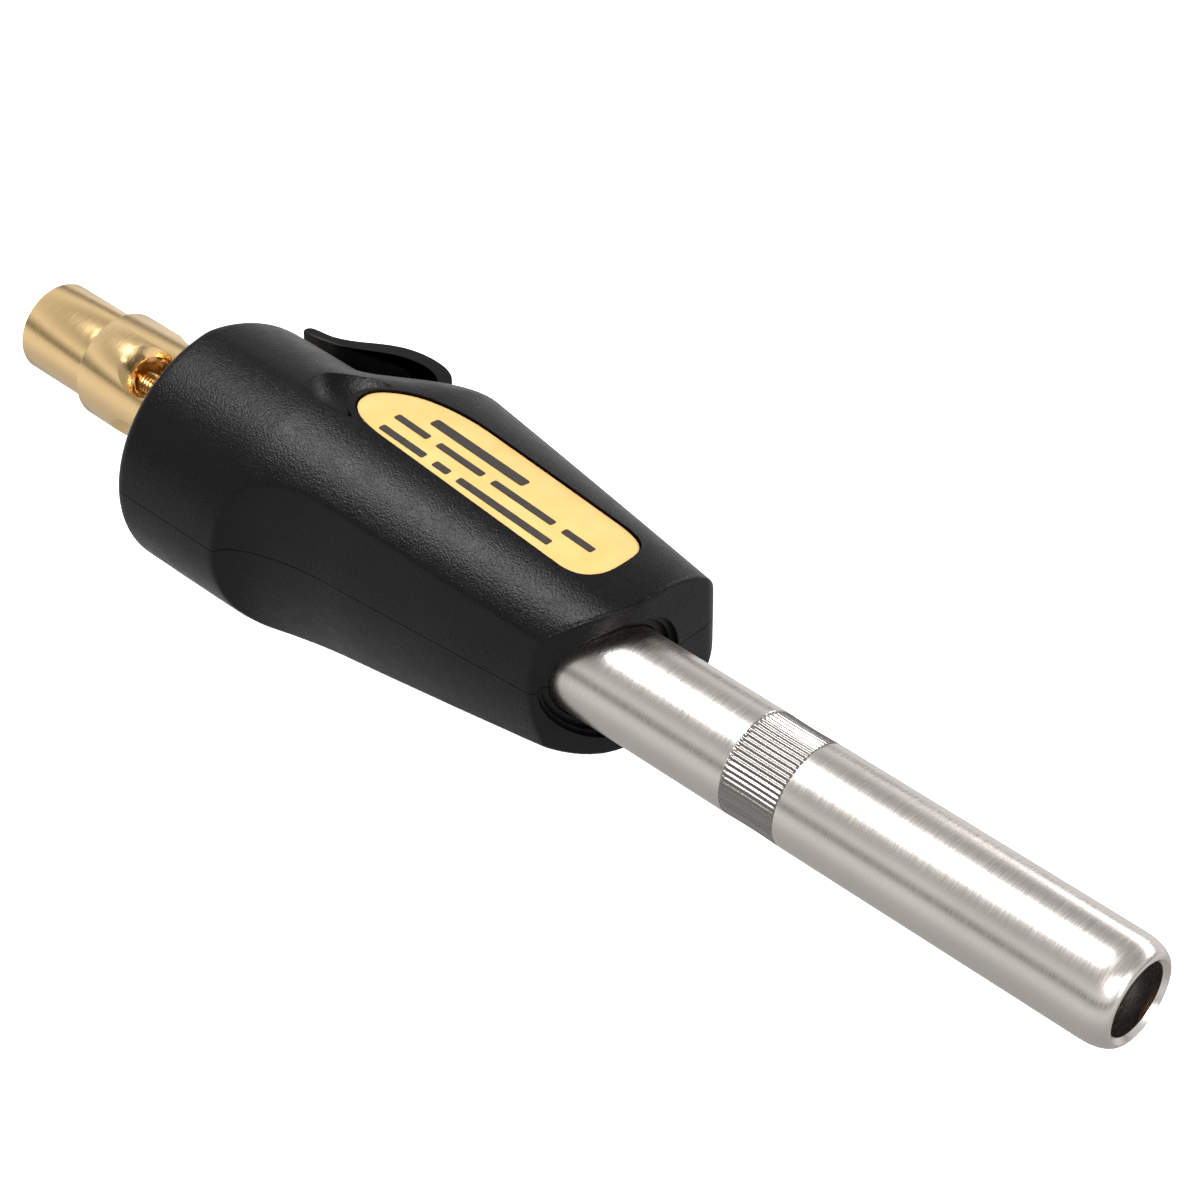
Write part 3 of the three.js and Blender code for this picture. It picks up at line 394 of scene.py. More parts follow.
def moulded_plastic(name, colour, lighter, grain_scale, grain_mm, roughness):
    finish = Finish(name, colour)
    finish.shader.inputs["Specular IOR Level"].default_value = 0.17
    wear = finish.noise(90, detail=4)
    base = finish.mixed(finish.ranged(wear, 0, 1), colour, lighter)
    finish.link(base, finish.shader.inputs["Base Color"])
    grain = finish.noise(grain_scale, detail=2)
    finish.link(finish.ranged(finish.noise(300, detail=5), *roughness), finish.shader.inputs["Roughness"])
    finish.bump(grain, 0.9, grain_mm)
    finish.bump(finish.noise(grain_scale * 0.35, detail=3), 0.25, grain_mm)
    return finish.material


def turned_metal(name, colour, tint, roughness, line_scale, line_mm, band=None):
    """Metal with fine lines around the X axis, and a band painted darker between two places along it, as
    painted shade.
    """
    finish = Finish(name, colour, metallic=1.0)
    smear = 0.02  # how little the noise changes around the axis
    lines = finish.noise(line_scale, (1, smear, smear), detail=6, roughness=0.7)
    blotch = finish.noise(60, (1, 0.5, 0.5), detail=4)
    base = finish.mixed(finish.ranged(blotch, 0, 1), colour, tint)
    if band:
        # the band's darker colour is painted shade of the knurl valleys
        base = finish.banded(base, *band)
    finish.link(base, finish.shader.inputs["Base Color"])
    finish.link(finish.ranged(lines, *roughness), finish.shader.inputs["Roughness"])
    finish.bump(lines, 0.6, line_mm)
    return finish.material


def plain_surface(name, colour, lighter, roughness, metallic=0.0, scale=400, depth=0.01):
    finish = Finish(name, colour, metallic)
    grain = finish.noise(scale, detail=4)
    base = finish.mixed(finish.ranged(grain, 0, 1), colour, lighter)
    finish.link(base, finish.shader.inputs["Base Color"])
    finish.link(finish.ranged(grain, *roughness), finish.shader.inputs["Roughness"])
    finish.bump(grain, 0.5, depth)
    return finish.material


BLACK = ((0.002, 0.002, 0.0024), (0.003, 0.003, 0.0035))
KNURL_PAINTED_SHADE = (CRIMP_START, CRIMP_START + CRIMP_LENGTH, (0.30, 0.28, 0.265))  # start, end and colour; the knurl band is painted darker as painted shade of its valleys
PLASTICS = {  # two colours, fineness and height of the grain, roughness
    "shell_plastic": (*BLACK, 2600, 0.12, (0.25, 0.35)),
    "trigger_plastic": (*BLACK, 3200, 0.008, (0.34, 0.42)),
}
METALS = {  # two colours, roughness, fineness and height of the turning marks
    "inlet_brass": ((0.98, 0.71, 0.37), (0.95, 0.67, 0.32), (0.16, 0.30), 9000, 0.004),
    "inner_brass": ((0.74, 0.42, 0.13), (0.60, 0.33, 0.10), (0.22, 0.36), 7000, 0.004),
    "stainless": ((0.74, 0.685, 0.64), (0.68, 0.63, 0.59), (0.20, 0.36), 8000, 0.009, KNURL_PAINTED_SHADE),
}
PLAIN = {  # two colours, roughness, and where they differ from the usual: metal share, fineness, height
    "spring_steel": ((0.50, 0.50, 0.51), (0.58, 0.58, 0.58), (0.25, 0.4), 1.0),
    "screw_steel": ((0.12, 0.12, 0.13), (0.2, 0.2, 0.2), (0.35, 0.5), 1.0),
    "piezo_plastic": ((0.42, 0.43, 0.45), (0.5, 0.5, 0.52), (0.4, 0.55)),
    "label_foil": ((0.77, 0.44, 0.145), (0.81, 0.49, 0.18), (0.36, 0.46), 0.15, 220, 0.004),
    "label_ink": ((0.018, 0.014, 0.010), (0.03, 0.024, 0.018), (0.45, 0.6), 0, 900, 0.002),
    "seal_rubber": ((0.02, 0.02, 0.02), (0.035, 0.035, 0.035), (0.6, 0.75)),
    "lead_silicone": ((0.40, 0.04, 0.03), (0.46, 0.06, 0.04), (0.45, 0.55)),
    "electrode_ceramic": ((0.85, 0.82, 0.75), (0.9, 0.88, 0.82), (0.3, 0.45)),
}


def make_materials():
    made = {name: moulded_plastic(name, *look) for name, look in PLASTICS.items()}
    made.update((name, turned_metal(name, *look)) for name, look in METALS.items())
    made.update((name, plain_surface(name, *look)) for name, look in PLAIN.items())
    return made


# ---- Mesh helpers -----------------------------------------------------------------------------------
def new_object(name, vertices, faces):
    mesh = bpy.data.meshes.new(name)
    mesh.from_pydata([tuple(map(float, v)) for v in vertices], [], faces)
    mesh.validate()
    made = bpy.data.objects.new(name, mesh)
    bpy.context.scene.collection.objects.link(made)
    work = bmesh.new()
    work.from_mesh(mesh)
    bmesh.ops.remove_doubles(work, verts=work.verts, dist=1e-5)
    bmesh.ops.recalc_face_normals(work, faces=work.faces)
    work.to_mesh(mesh)
    work.free()
    return made


def settle(made):
    """Applies every modifier."""
    graph = bpy.context.evaluated_depsgraph_get()
    graph.update()
    mesh = bpy.data.meshes.new_from_object(made.evaluated_get(graph))
    old = made.data
    made.modifiers.clear()
    made.data = mesh
    bpy.data.meshes.remove(old)
    return made


def discard(made):
    mesh = made.data
    bpy.data.objects.remove(made)
    bpy.data.meshes.remove(mesh)


def boolean(made, tool, operation, keep_tool=False):
    modifier = made.modifiers.new("cut", "BOOLEAN")
    modifier.operation = operation
    modifier.solver = "MANIFOLD"
    modifier.object = tool
    settle(made)
    if not keep_tool:
        discard(tool)
    return made


def cut(made, *tools):
    for tool in tools:
        boolean(made, tool, "DIFFERENCE")
    return made


def join(made, *tools):
    for tool in tools:
        boolean(made, tool, "UNION")
    return made


def common(made, tool):
    return boolean(made, tool, "INTERSECT")


def copy_of(made):
    twin = made.copy()
    twin.data = made.data.copy()
    bpy.context.scene.collection.objects.link(twin)
    return twin


def rings_solid(name, rings, closed_ends=True):
    """A solid through equal rings of points: an array of ring, point, coordinate."""
    rings = np.asarray(rings, float)
    ring_count, count = rings.shape[:2]
    vertices = list(rings.reshape(-1, 3))
    faces = []
    for k in range(ring_count - 1 if closed_ends else ring_count):
        a0 = k * count
        b0 = ((k + 1) % ring_count) * count
        for i in range(count):
            j = (i + 1) % count
            faces.append((a0 + i, a0 + j, b0 + j, b0 + i))
    if closed_ends:
        for k in (0, ring_count - 1):
            vertices.append(rings[k].mean(0))
            centre = len(vertices) - 1
            for i in range(count):
                faces.append((centre, k * count + i, k * count + (i + 1) % count))
    return new_object(name, vertices, faces)


def turned(name, profile, sides=96):
    """A solid of revolution about the gas axis: (x, radius) points that start and end on the axis."""
    turns = np.linspace(0, 2 * math.pi, sides, endpoint=False)
    circle = [(math.cos(t), math.sin(t)) for t in turns]
    rings = [[(x, radius * c, radius * s) for c, s in circle] for x, radius in profile[1:-1]]
    return rings_solid(name, rings)


def rod(x0, x1, radius, sides=64, y=0.0, z=0.0):
    made = turned("rod", [(x0, 0), (x0, radius), (x1, radius), (x1, 0)], sides)
    made.data.transform(Matrix.Translation((0, y, z)))
    return made


def block(x0, x1, y0, y1, z0, z1):
    rings = [[(x, y0, z0), (x, y1, z0), (x, y1, z1), (x, y0, z1)] for x in (x0, x1)]
    return rings_solid("block", rings)


def prism(outline, z0, z1, name="prism"):
    return rings_solid(name, [[(x, y, z) for x, y in outline] for z in (z0, z1)])


def post(x, y, z0, z1, radius, sides=48):
    turns = np.linspace(0, 2 * math.pi, sides, endpoint=False)
    return prism([(x + radius * math.cos(t), y + radius * math.sin(t)) for t in turns], z0, z1)


def ball(centre, radii, steps=48):
    """An ellipsoid."""
    rings = []
    for k in range(1, steps):
        polar = math.pi * k / steps
        rings.append([(centre[0] + radii[0] * math.cos(polar),
                       centre[1] + radii[1] * math.sin(polar) * math.cos(t),
                       centre[2] + radii[2] * math.sin(polar) * math.sin(t))
                      for t in np.linspace(0, 2 * math.pi, steps * 2, endpoint=False)])
    return rings_solid("ball", rings)


def bezier(p0, p1, p2, p3, steps):
    t = np.linspace(0, 1, steps + 1)[1:, None]
    p0, p1, p2, p3 = (np.array(p, float) for p in (p0, p1, p2, p3))
    points = (1 - t) ** 3 * p0 + 3 * (1 - t) ** 2 * t * p1 + 3 * (1 - t) * t ** 2 * p2 + t ** 3 * p3
    return [tuple(p) for p in points]


def arc(x, y, radius, start, end, steps):
    turns = np.linspace(start, end, steps + 1)
    return [(x + radius * math.cos(t), y + radius * math.sin(t)) for t in turns]


def finish_piece(made, name, slot_name, body=BODY, material=None, sharp=40, replaced=()):
    """Gives a piece its material and shading, moves it to the row frame and hangs it on its body."""
    made.name = name
    made.data.name = name
    made.data.materials.clear()
    made.data.materials.append(MATERIALS[material or slot_name])
    made.data.transform(Matrix.Translation(GAS_AXIS) @ Matrix.Scale(MM, 4))
    made.data.shade_smooth()
    if sharp:
        made.data.set_sharp_from_angle(angle=math.radians(sharp))
    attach(made, body)
    if replaced:
        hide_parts(*replaced)
    return made


# ---- Handpiece shape --------------------------------------------------------------------------------
def lerp(a, b, t):
    return a + (b - a) * t


def smoothstep(x, low, high):
    t = min(max((x - low) / (high - low), 0), 1)
    return t * t * (3 - 2 * t)


def taper(x):
    return min(max((x - BARREL_FRONT) / (NOSE_X - BARREL_FRONT), 0), 1.1)


def half_height(x):
    return lerp(BARREL_R, NOSE_R, taper(x))


def centre_z(x):
    return lerp(BARREL_Z, 0, taper(x))


def roof_fall(x):
    return ROOF_FALL * max(0, 1 - taper(x))


def swell(x):
    return smoothstep(x, HUMP_START, HUMP_X)


def reach_y(x):
    hump = lerp(BARREL_R, HUMP_Y, swell(x))
    return hump - max(0, x - HUMP_X) * (HUMP_Y - NOSE_Y) / (NOSE_X - HUMP_X)


def panel_y(x):
    """Side position of the finger panel at the parting plane."""
    if x <= PANEL_REAR:
        return -2 * BARREL_R
    slope = (PANEL_NOSE_Y - PANEL_STRAIGHT_Y) / (NOSE_X - PANEL_STRAIGHT)
    t = min(max((PANEL_STRAIGHT - x) / (PANEL_STRAIGHT - PANEL_REAR), 0), 1)
    return PANEL_STRAIGHT_Y + slope * (x - PANEL_STRAIGHT) - PANEL_SCOOP * (1 - math.sqrt(1 - t * t))


def panel_inset_y(x, inset):
    shares = (-1, -0.8, -0.4, 0, 0.4, 0.8, 1)
    return max(panel_y(x + share * inset) + inset * math.sqrt(1 - share * share) for share in shares)


def roof_point(x, turn, inset):
    height = half_height(x) - inset
    power = 2 / lerp(2, HUMP_FULLNESS, swell(x))
    c, s = math.cos(turn), math.sin(turn)
    reach = reach_y(x) - inset
    shape = power if c > 0 else 1
    y = math.copysign((reach if c > 0 else height) * abs(c) ** shape, c)
    fall = 1 - roof_fall(x) * c if c > 0 and s > 0 else 1
    return y, centre_z(x) + math.copysign(height * abs(s) ** shape, s) * fall


def roof_z(x, y, inset=0.0):
    """Height of the top surface at a place on it."""
    height = half_height(x) - inset
    if y <= 0:
        return centre_z(x) + math.sqrt(height * height - y * y)
    power = lerp(2, HUMP_FULLNESS, swell(x))
    share = y / (reach_y(x) - inset)
    fall = 1 - roof_fall(x) * share ** (power / 2)
    return centre_z(x) + height * (1 - share ** power) ** (1 / power) * fall


def section(x, inset, roof_count, panel_count):
    """One cross-section of the handpiece, counter-clockwise, inset from the outer surface."""
    side = panel_inset_y(x, inset)
    height = half_height(x) - inset
    centre = centre_z(x)

    def corner(sign):
        free, blocked = math.pi / 2, math.pi * 0.93
        y, z = roof_point(x, sign * blocked, inset)
        if y > side + PANEL_CROWN * z * z:
            return sign * blocked
        for _ in range(34):
            middle = (free + blocked) / 2
            y, z = roof_point(x, sign * middle, inset)
            if y > side + PANEL_CROWN * z * z:
                free = middle
            else:
                blocked = middle
        return sign * free

    points = [roof_point(x, t, inset) for t in np.linspace(corner(-1), corner(1), roof_count + 1)]
    top, bottom = points[-1][1], points[0][1]
    for i in range(1, panel_count):
        z = lerp(top, bottom, i / panel_count)
        round_y = -math.sqrt(max(0, height * height - (z - centre) ** 2))
        points.append((max(round_y, side + PANEL_CROWN * z * z), z))
    return [(x, y, max(z, REST_Z + inset)) for y, z in points]


def loft(stations, inset, roof_count, panel_count):
    rings = [section(x, inset + extra, roof_count, panel_count) for x, extra in stations]
    return rings_solid("loft", rings)


def outer_stations():
    """Close together at the rounded rear rim and at the steep end of the finger panel."""
    stations = []
    for t in np.linspace(0, math.pi / 2, 9):
        stations.append((SHELL_REAR + RIM_R * (1 - math.cos(t)), RIM_R * (1 - math.sin(t))))
    stations += [(x, 0) for x in np.linspace(SHELL_REAR + 4, PANEL_REAR - 1, 14)]
    scoop_length = PANEL_STRAIGHT - PANEL_REAR
    stations += [(PANEL_REAR + scoop_length * (1 - math.cos(t)), 0) for t in np.linspace(0.02, 1.35, 46)]
    stations += [(x, 0) for x in np.linspace(PANEL_STRAIGHT - 2, NOSE_X + 3, 46)]
    return stations


INNER_STATIONS = [(x, 0) for x in (
    SHELL_REAR + REAR_WALL, SHELL_REAR + 12, HUMP_START,
    *(PANEL_REAR + step for step in (-2.6, -1, 1, 2.5, 5, 8, 12)), HUMP_X,
    *(PANEL_STRAIGHT + 12 * step for step in range(5)), NOSE_X + 3)]


def face_x(y):
    """Plan curve of the front face."""
    if y < FACE_BOW_Y:
        return NOSE_X - FACE_BOW * ((FACE_BOW_Y - y) / FACE_BOW_SPAN) ** FACE_BOW_POWER
    across = min(max(y - FACE_CORNER_Y, 0), FACE_CORNER_R)
    return NOSE_X - FACE_CORNER_R + math.sqrt(FACE_CORNER_R ** 2 - across ** 2)


def ahead_of_face(depth):
    """Everything in front of the front face, moved back by a depth."""
    reach = BARREL_R + 20
    edge = FACE_CORNER_Y + FACE_CORNER_R - 0.05
    across = [reach, *np.linspace(edge, FACE_CORNER_Y, 40), *np.linspace(18, FACE_BOW_Y, 8)]
    across += [*np.linspace(FACE_BOW_Y - 0.6, FACE_NEAR_Y, 40), -reach]
    outline = [(NOSE_X + reach, -reach), (NOSE_X + reach, reach)]
    outline += [(face_x(min(max(y, FACE_NEAR_Y), edge)) - depth, y) for y in across]
    return prism(outline, -reach, reach)


def label_outline(margin, steps=20):
    rear = LABEL_REAR - margin
    front = LABEL_FRONT + margin
    near = LABEL_NEAR_Y - margin
    far = LABEL_FAR_Y + margin
    rear_edge = near + 0.9  # both long edges draw in a little, this one towards the rear
    front_edge = far - 0.8  # and this one towards the front

    def straight(start, end):
        shares = np.linspace(0, 1, steps * 2)[1:]
        return [(lerp(start[0], end[0], t), lerp(start[1], end[1], t)) for t in shares]

    corners = [(rear + 12, rear_edge), (front - 7, near), (front, near + 7), (front - 8, front_edge),
               (rear + 20, far), (rear, near + 8)]
    outline = [corners[0]] + straight(corners[0], corners[1])
    outline += bezier(corners[1], (front - 2.5, near), (front, near + 3), corners[2], steps)
    outline += bezier(corners[2], (front, far - 3), (front - 3, front_edge - 0.4), corners[3], steps)
    outline += straight(corners[3], corners[4])
    outline += bezier(corners[4], (rear + 8, far), (rear, far - 6), corners[5], steps)
    outline += bezier(corners[5], (rear, near + 3), (rear + 4, rear_edge), corners[0], steps)
    return outline[:-1]


def scoop_ball(grow):
    top = centre_z(SCOOP["x"]) + half_height(SCOOP["x"])
    return ball((SCOOP["x"], SCOOP["y"], top + SCOOP["height"]),
                (SCOOP["rx"] + grow, SCOOP["ry"] + grow, SCOOP["rz"] + grow))


def soften(target, passes):
    """Round every edge: an even mesh, smoothed."""
    remesh = target.modifiers.new("even", "REMESH")
    remesh.mode = "VOXEL"
    remesh.voxel_size = 0.36
    smooth = target.modifiers.new("soften", "SMOOTH")
    smooth.factor = 0.5
    smooth.iterations = passes
    return settle(target)


def shell_skin():
    """The outside of both shells as one solid: rounded edges, then crisp recess, scoop, collar and slot."""
    skin = cut(loft(outer_stations(), 0, 150, 36), ahead_of_face(0))
    soften(skin, 10)
    recess = prism(label_outline(GAP), 5, 40)
    floor = loft(outer_stations(), LABEL_SINK + LABEL_THICK + GAP, 150, 36)
    cut(recess, floor)
    scoop = scoop_ball(0)
    cut(scoop, prism(label_outline(GAP + 1), 5, 40))
    cut(skin, recess, scoop)
    for radius, depth in zip(COLLAR_R, (COLLAR_STEP, 2 * COLLAR_STEP)):
        cut(skin, common(rod(0, NOSE_X + 9, radius, 128), ahead_of_face(depth)))
    cut(skin, block(SHELL_REAR - 5, SLOT_FRONT, SLOT_FLOOR_Y, 50, -SLOT_HALF_WIDTH, SLOT_HALF_WIDTH))
    return skin


def shell_hollow():
    """The space inside both shells, with the ribs, bosses and pin ears left standing."""
    hollow = cut(loft(INNER_STATIONS, WALL, 60, 12), ahead_of_face(FRONT_WALL), scoop_ball(2))
    half = PIEZO_HALF + GAP
    igniter = block(PIEZO_REAR - 2, PIEZO_FRONT + GAP, PIEZO_Y - half, PIEZO_Y + half, -half, half)
    way = CONTACT_WAY_HALF
    join(igniter, block(PIEZO_REAR, LEAD_SLOT_START, PIEZO_Y - way, PIEZO_Y + way, -way, way))
    ring_front = SHELL_REAR + REAR_WALL + GAP + RING_THICK
    for x in (ring_front + GAP, PIEZO_REAR + 4, PIEZO_FRONT - 7, PIEZO_FRONT + GAP):
        wall = block(x, x + RIB, -BEYOND, BEYOND, -BEYOND, BEYOND)
        boolean(wall, igniter, "DIFFERENCE", keep_tool=True)
        cut(hollow, wall)
    discard(igniter)
    for side in (-1, 1):
        z0 = min(side * SLOT_HALF_WIDTH, side * (SLOT_HALF_WIDTH + EAR))
        cut(hollow, block(PIVOT_X - EAR_REACH, PIVOT_X + EAR_REACH, PIVOT_Y - EAR_BELOW,
                          PIVOT_Y + EAR_ABOVE, z0, z0 + EAR))
    for x, y, _ in SCREWS:
        cut(hollow, post(x, y, -BEYOND, BEYOND, BOSS_R))
    return hollow


def make_shells():
    skin = shell_skin()
    lever_room = block(SLOT_FRONT - 1, PIVOT_X + TRIGGER_BOSS_R + 3 * GAP, SLOT_FLOOR_Y,
                       PIVOT_Y + TRIGGER_BOSS_R + GAP, -SLOT_HALF_WIDTH, SLOT_HALF_WIDTH)
    pin_end = SLOT_HALF_WIDTH + EAR + 0.4
    cut(skin, shell_hollow(), rod(SHELL_REAR - 5, MIXER_SHOULDER + 2, MIXER_R + GAP, 128),
        rod(MIXER_SHOULDER, NOSE_X + 5, TUBE_R + GAP, 128), lever_room,
        post(PIVOT_X, PIVOT_Y, -pin_end, pin_end, PIN_R + FIT))
    for x, y, seat in SCREWS:
        cut(skin, post(x, y, -BEYOND, seat, SCREW_HEAD_R + GAP),
            post(x, y, seat - 1, seat + SHANK + GAP, SCREW_R + FIT, 24))
    upper = copy_of(skin)
    common(upper, block(-BEYOND, BEYOND, -BEYOND, BEYOND, PARTING, BEYOND))
    common(skin, block(-BEYOND, BEYOND, -BEYOND, BEYOND, -BEYOND, -PARTING))
    finish_piece(upper, "upper_shell_skin", "shell_plastic", replaced=["upper_shell"])
    finish_piece(skin, "lower_shell_skin", "shell_plastic", replaced=["lower_shell"])


# ---- Label ------------------------------------------------------------------------------------------
def label_sheet(name, outline, top_inset, thick, steps=14):
    """A thin sheet that follows the roof: rings from its middle out to its outline, with a rounded edge."""
    outline = np.array(outline)
    middle = outline.mean(0)
    rings = []
    for share in [*np.linspace(0.04, 0.97, steps), 0.99, 1.0]:
        ring = middle + (outline - middle) * share
        drop = 0.0 if share < 0.995 else thick * 0.3
        rings.append([(x, y, roof_z(x, y, top_inset) - drop) for x, y in ring])
    for share in [1.0, *np.linspace(0.97, 0.04, steps)]:
        ring = middle + (outline - middle) * share
        rings.append([(x, y, roof_z(x, y, top_inset + thick)) for x, y in ring])
    return rings_solid(name, rings)


def bar_outline(x0, x1, y, half):
    """A bar with rounded corners."""
    corner = half * 0.5
    outline = []
    for cx, cy, start in ((x1 - corner, y + half - corner, 0), (x0 + corner, y + half - corner, 90),
                          (x0 + corner, y - half + corner, 180), (x1 - corner, y - half + corner, 270)):
        outline += arc(cx, cy, corner, math.radians(start), math.radians(start + 90), 5)
    dense = []
    for a, b in zip(outline, outline[1:] + outline[:1]):
        count = max(1, int(math.dist(a, b) / 0.8))
        dense += [(lerp(a[0], b[0], i / count), lerp(a[1], b[1], i / count)) for i in range(count)]
    return dense


def make_label():
    plate = label_sheet("label", label_outline(0), LABEL_SINK, LABEL_THICK)
    finish_piece(plate, "label_film", "label_foil", replaced=["label_plate"])
    bars = None
    for y, half, spans in LABEL_BARS:
        for x0, x1 in spans:
            bar = label_sheet("bar", bar_outline(x0, x1, y, half), LABEL_SINK - INK_LIFT, INK_THICK, 4)
            bars = join(bars, bar) if bars else bar
    finish_piece(bars, "label_print_bars", "label_foil", material="label_ink")


# ---- Metal parts --------------------------------------------------------------------------------------
def air_hole_tools():
    """Countersunk radial holes, spaced evenly around the mixer body."""
    sink_depth = AIR_SINK_R - AIR_HOLE_R
    seat = MIXER_R - sink_depth - AIR_SINK_DROP
    profile = [(0, 0), (0, AIR_HOLE_R), (seat - 0.25, AIR_HOLE_R), (seat + 0.1, AIR_HOLE_R + 0.12),
               (seat + sink_depth + 1.6, AIR_SINK_R + 1.6), (seat + sink_depth + 1.6, 0)]
    for i in range(AIR_HOLE_COUNT):
        turn = AIR_HOLE_TURN + i * 2 * math.pi / AIR_HOLE_COUNT
        tool = turned("air_hole", profile, 96)
        tool.data.transform(Matrix.Translation((AIR_HOLE_X, 0, 0)) @ Matrix.Rotation(turn, 4, "X")
                            @ Matrix.Rotation(-math.pi / 2, 4, "Y"))
        yield tool


def make_mixer_body():
    front = MIXER_SHOULDER + SPIGOT_LENGTH
    ring_rear = SHELL_REAR + REAR_WALL + GAP
    ring_front = ring_rear + RING_THICK
    spigot_r = TUBE_R - TUBE_WALL - FIT
    body = turned("mixer", [
        (MIXER_REAR + 0.1, 0), (MIXER_REAR + 0.1, CHAMBER_R), (MIXER_REAR + 0.1, MIXER_R - 0.25),
        (MIXER_REAR + 0.18, MIXER_R - 0.07), (MIXER_REAR + 0.35, MIXER_R), (ring_rear - GAP, MIXER_R),
        (ring_rear - GAP, RING_GROOVE_R), (ring_front + GAP, RING_GROOVE_R), (ring_front + GAP, MIXER_R),
        (MIXER_SHOULDER, MIXER_R), (MIXER_SHOULDER, spigot_r), (front, spigot_r), (front, 0)], 160)
    bore = MIXING_TUBE_R - MIXING_TUBE_WALL
    cone_front = CHAMBER_FRONT + CHAMBER_R - MIXING_TUBE_R
    mixing_rear = MIXER_SHOULDER - MIXING_SEAT
    chamber = turned("chamber", [
        (MIXER_REAR - 1, 0), (MIXER_REAR - 1, CHAMBER_R), (CHAMBER_FRONT, CHAMBER_R), (cone_front, bore),
        (mixing_rear, bore), (mixing_rear, 0)], 128)
    cut(body, chamber, rod(mixing_rear - GAP, front + 1, MIXING_TUBE_R + FIT), *air_hole_tools())
    finish_piece(body, "mixer_body_turned", "inlet_brass", sharp=35, replaced=["mixer_body"])


def make_inlet_socket():
    rear = MIXER_REAR - SOCKET_LENGTH
    bore_end = rear + SOCKET_BORE_DEPTH
    spigot_front = MIXER_REAR + SOCKET_SPIGOT
    body = turned("socket", [
        (rear, 0), (rear, SOCKET_BORE_R + 1), (rear, SOCKET_R - 0.35), (rear + 0.1, SOCKET_R - 0.1),
        (rear + 0.35, SOCKET_R), (MIXER_REAR - 0.25, SOCKET_R), (MIXER_REAR - 0.05, SOCKET_R - 0.2),
        (MIXER_REAR, CHAMBER_R - FIT), (spigot_front, CHAMBER_R - FIT), (spigot_front, 0)], 160)
    thread = threaded_rod(rear - 1, bore_end, SOCKET_BORE_R, 0.3, 1.0)
    mouth = turned("mouth", [(rear - 1, 0), (rear - 1, SOCKET_BORE_R + 1.5), (rear + 0.5, SOCKET_BORE_R),
                             (rear + 0.5, 0)], 96)
    cut(body, thread, mouth, rod(bore_end - 1, spigot_front + 1, JET_R + FIT))
    finish_piece(body, "inlet_socket_turned", "inlet_brass", sharp=35, replaced=["inlet_socket"])


def threaded_rod(x0, x1, radius, depth, pitch, sides=48):
    """A rod with a V thread cut into it: crests at the given radius."""
    turns = np.linspace(0, 2 * math.pi, sides, endpoint=False)
    rings = []
    for x in np.arange(x0, x1 + 1e-6, pitch / 8):
        phase = (x / pitch - turns / (2 * math.pi)) % 1.0
        profile = radius - depth * np.abs(2 * phase - 1)
        rings.append([(x, r * math.cos(t), r * math.sin(t)) for r, t in zip(profile, turns)])
    return rings_solid("thread", rings)


def make_gas_jet():
    bore_end = MIXER_REAR - SOCKET_LENGTH + SOCKET_BORE_DEPTH
    seat = MIXER_REAR + SOCKET_SPIGOT + JET_WASHER
    flange_front = seat + JET_FLANGE
    nose = flange_front + JET_NOSE_LENGTH
    body = threaded_rod(bore_end + 2.5, seat + 0.5, JET_R, 0.35, JET_PITCH)
    hexagon = turned("flange", [
        (seat, 0), (seat, JET_FLANGE_R - 0.4), (seat + 0.3, JET_FLANGE_R),
        (flange_front - 0.3, JET_FLANGE_R), (flange_front, JET_FLANGE_R - 0.4), (flange_front, 0)], 6)
    stem = threaded_rod(flange_front - 0.5, nose - 1, JET_NOSE_R, 0.3, JET_PITCH)
    tip = turned("tip", [(nose - 1.2, 0), (nose - 1.2, JET_NOSE_R - 0.1), (nose - 0.2, JET_NOSE_R * 0.7),
                         (nose, JET_NOSE_R * 0.55), (nose, 0)], 48)
    join(body, hexagon, stem, tip)
    cut(body, rod(bore_end, seat + JET_NOSE_LENGTH, GAS_BORE_R, 32),
        rod(bore_end, nose + 1, ORIFICE_R, 24))
    finish_piece(body, "gas_jet_threaded", "inner_brass", sharp=30, replaced=["gas_jet"])


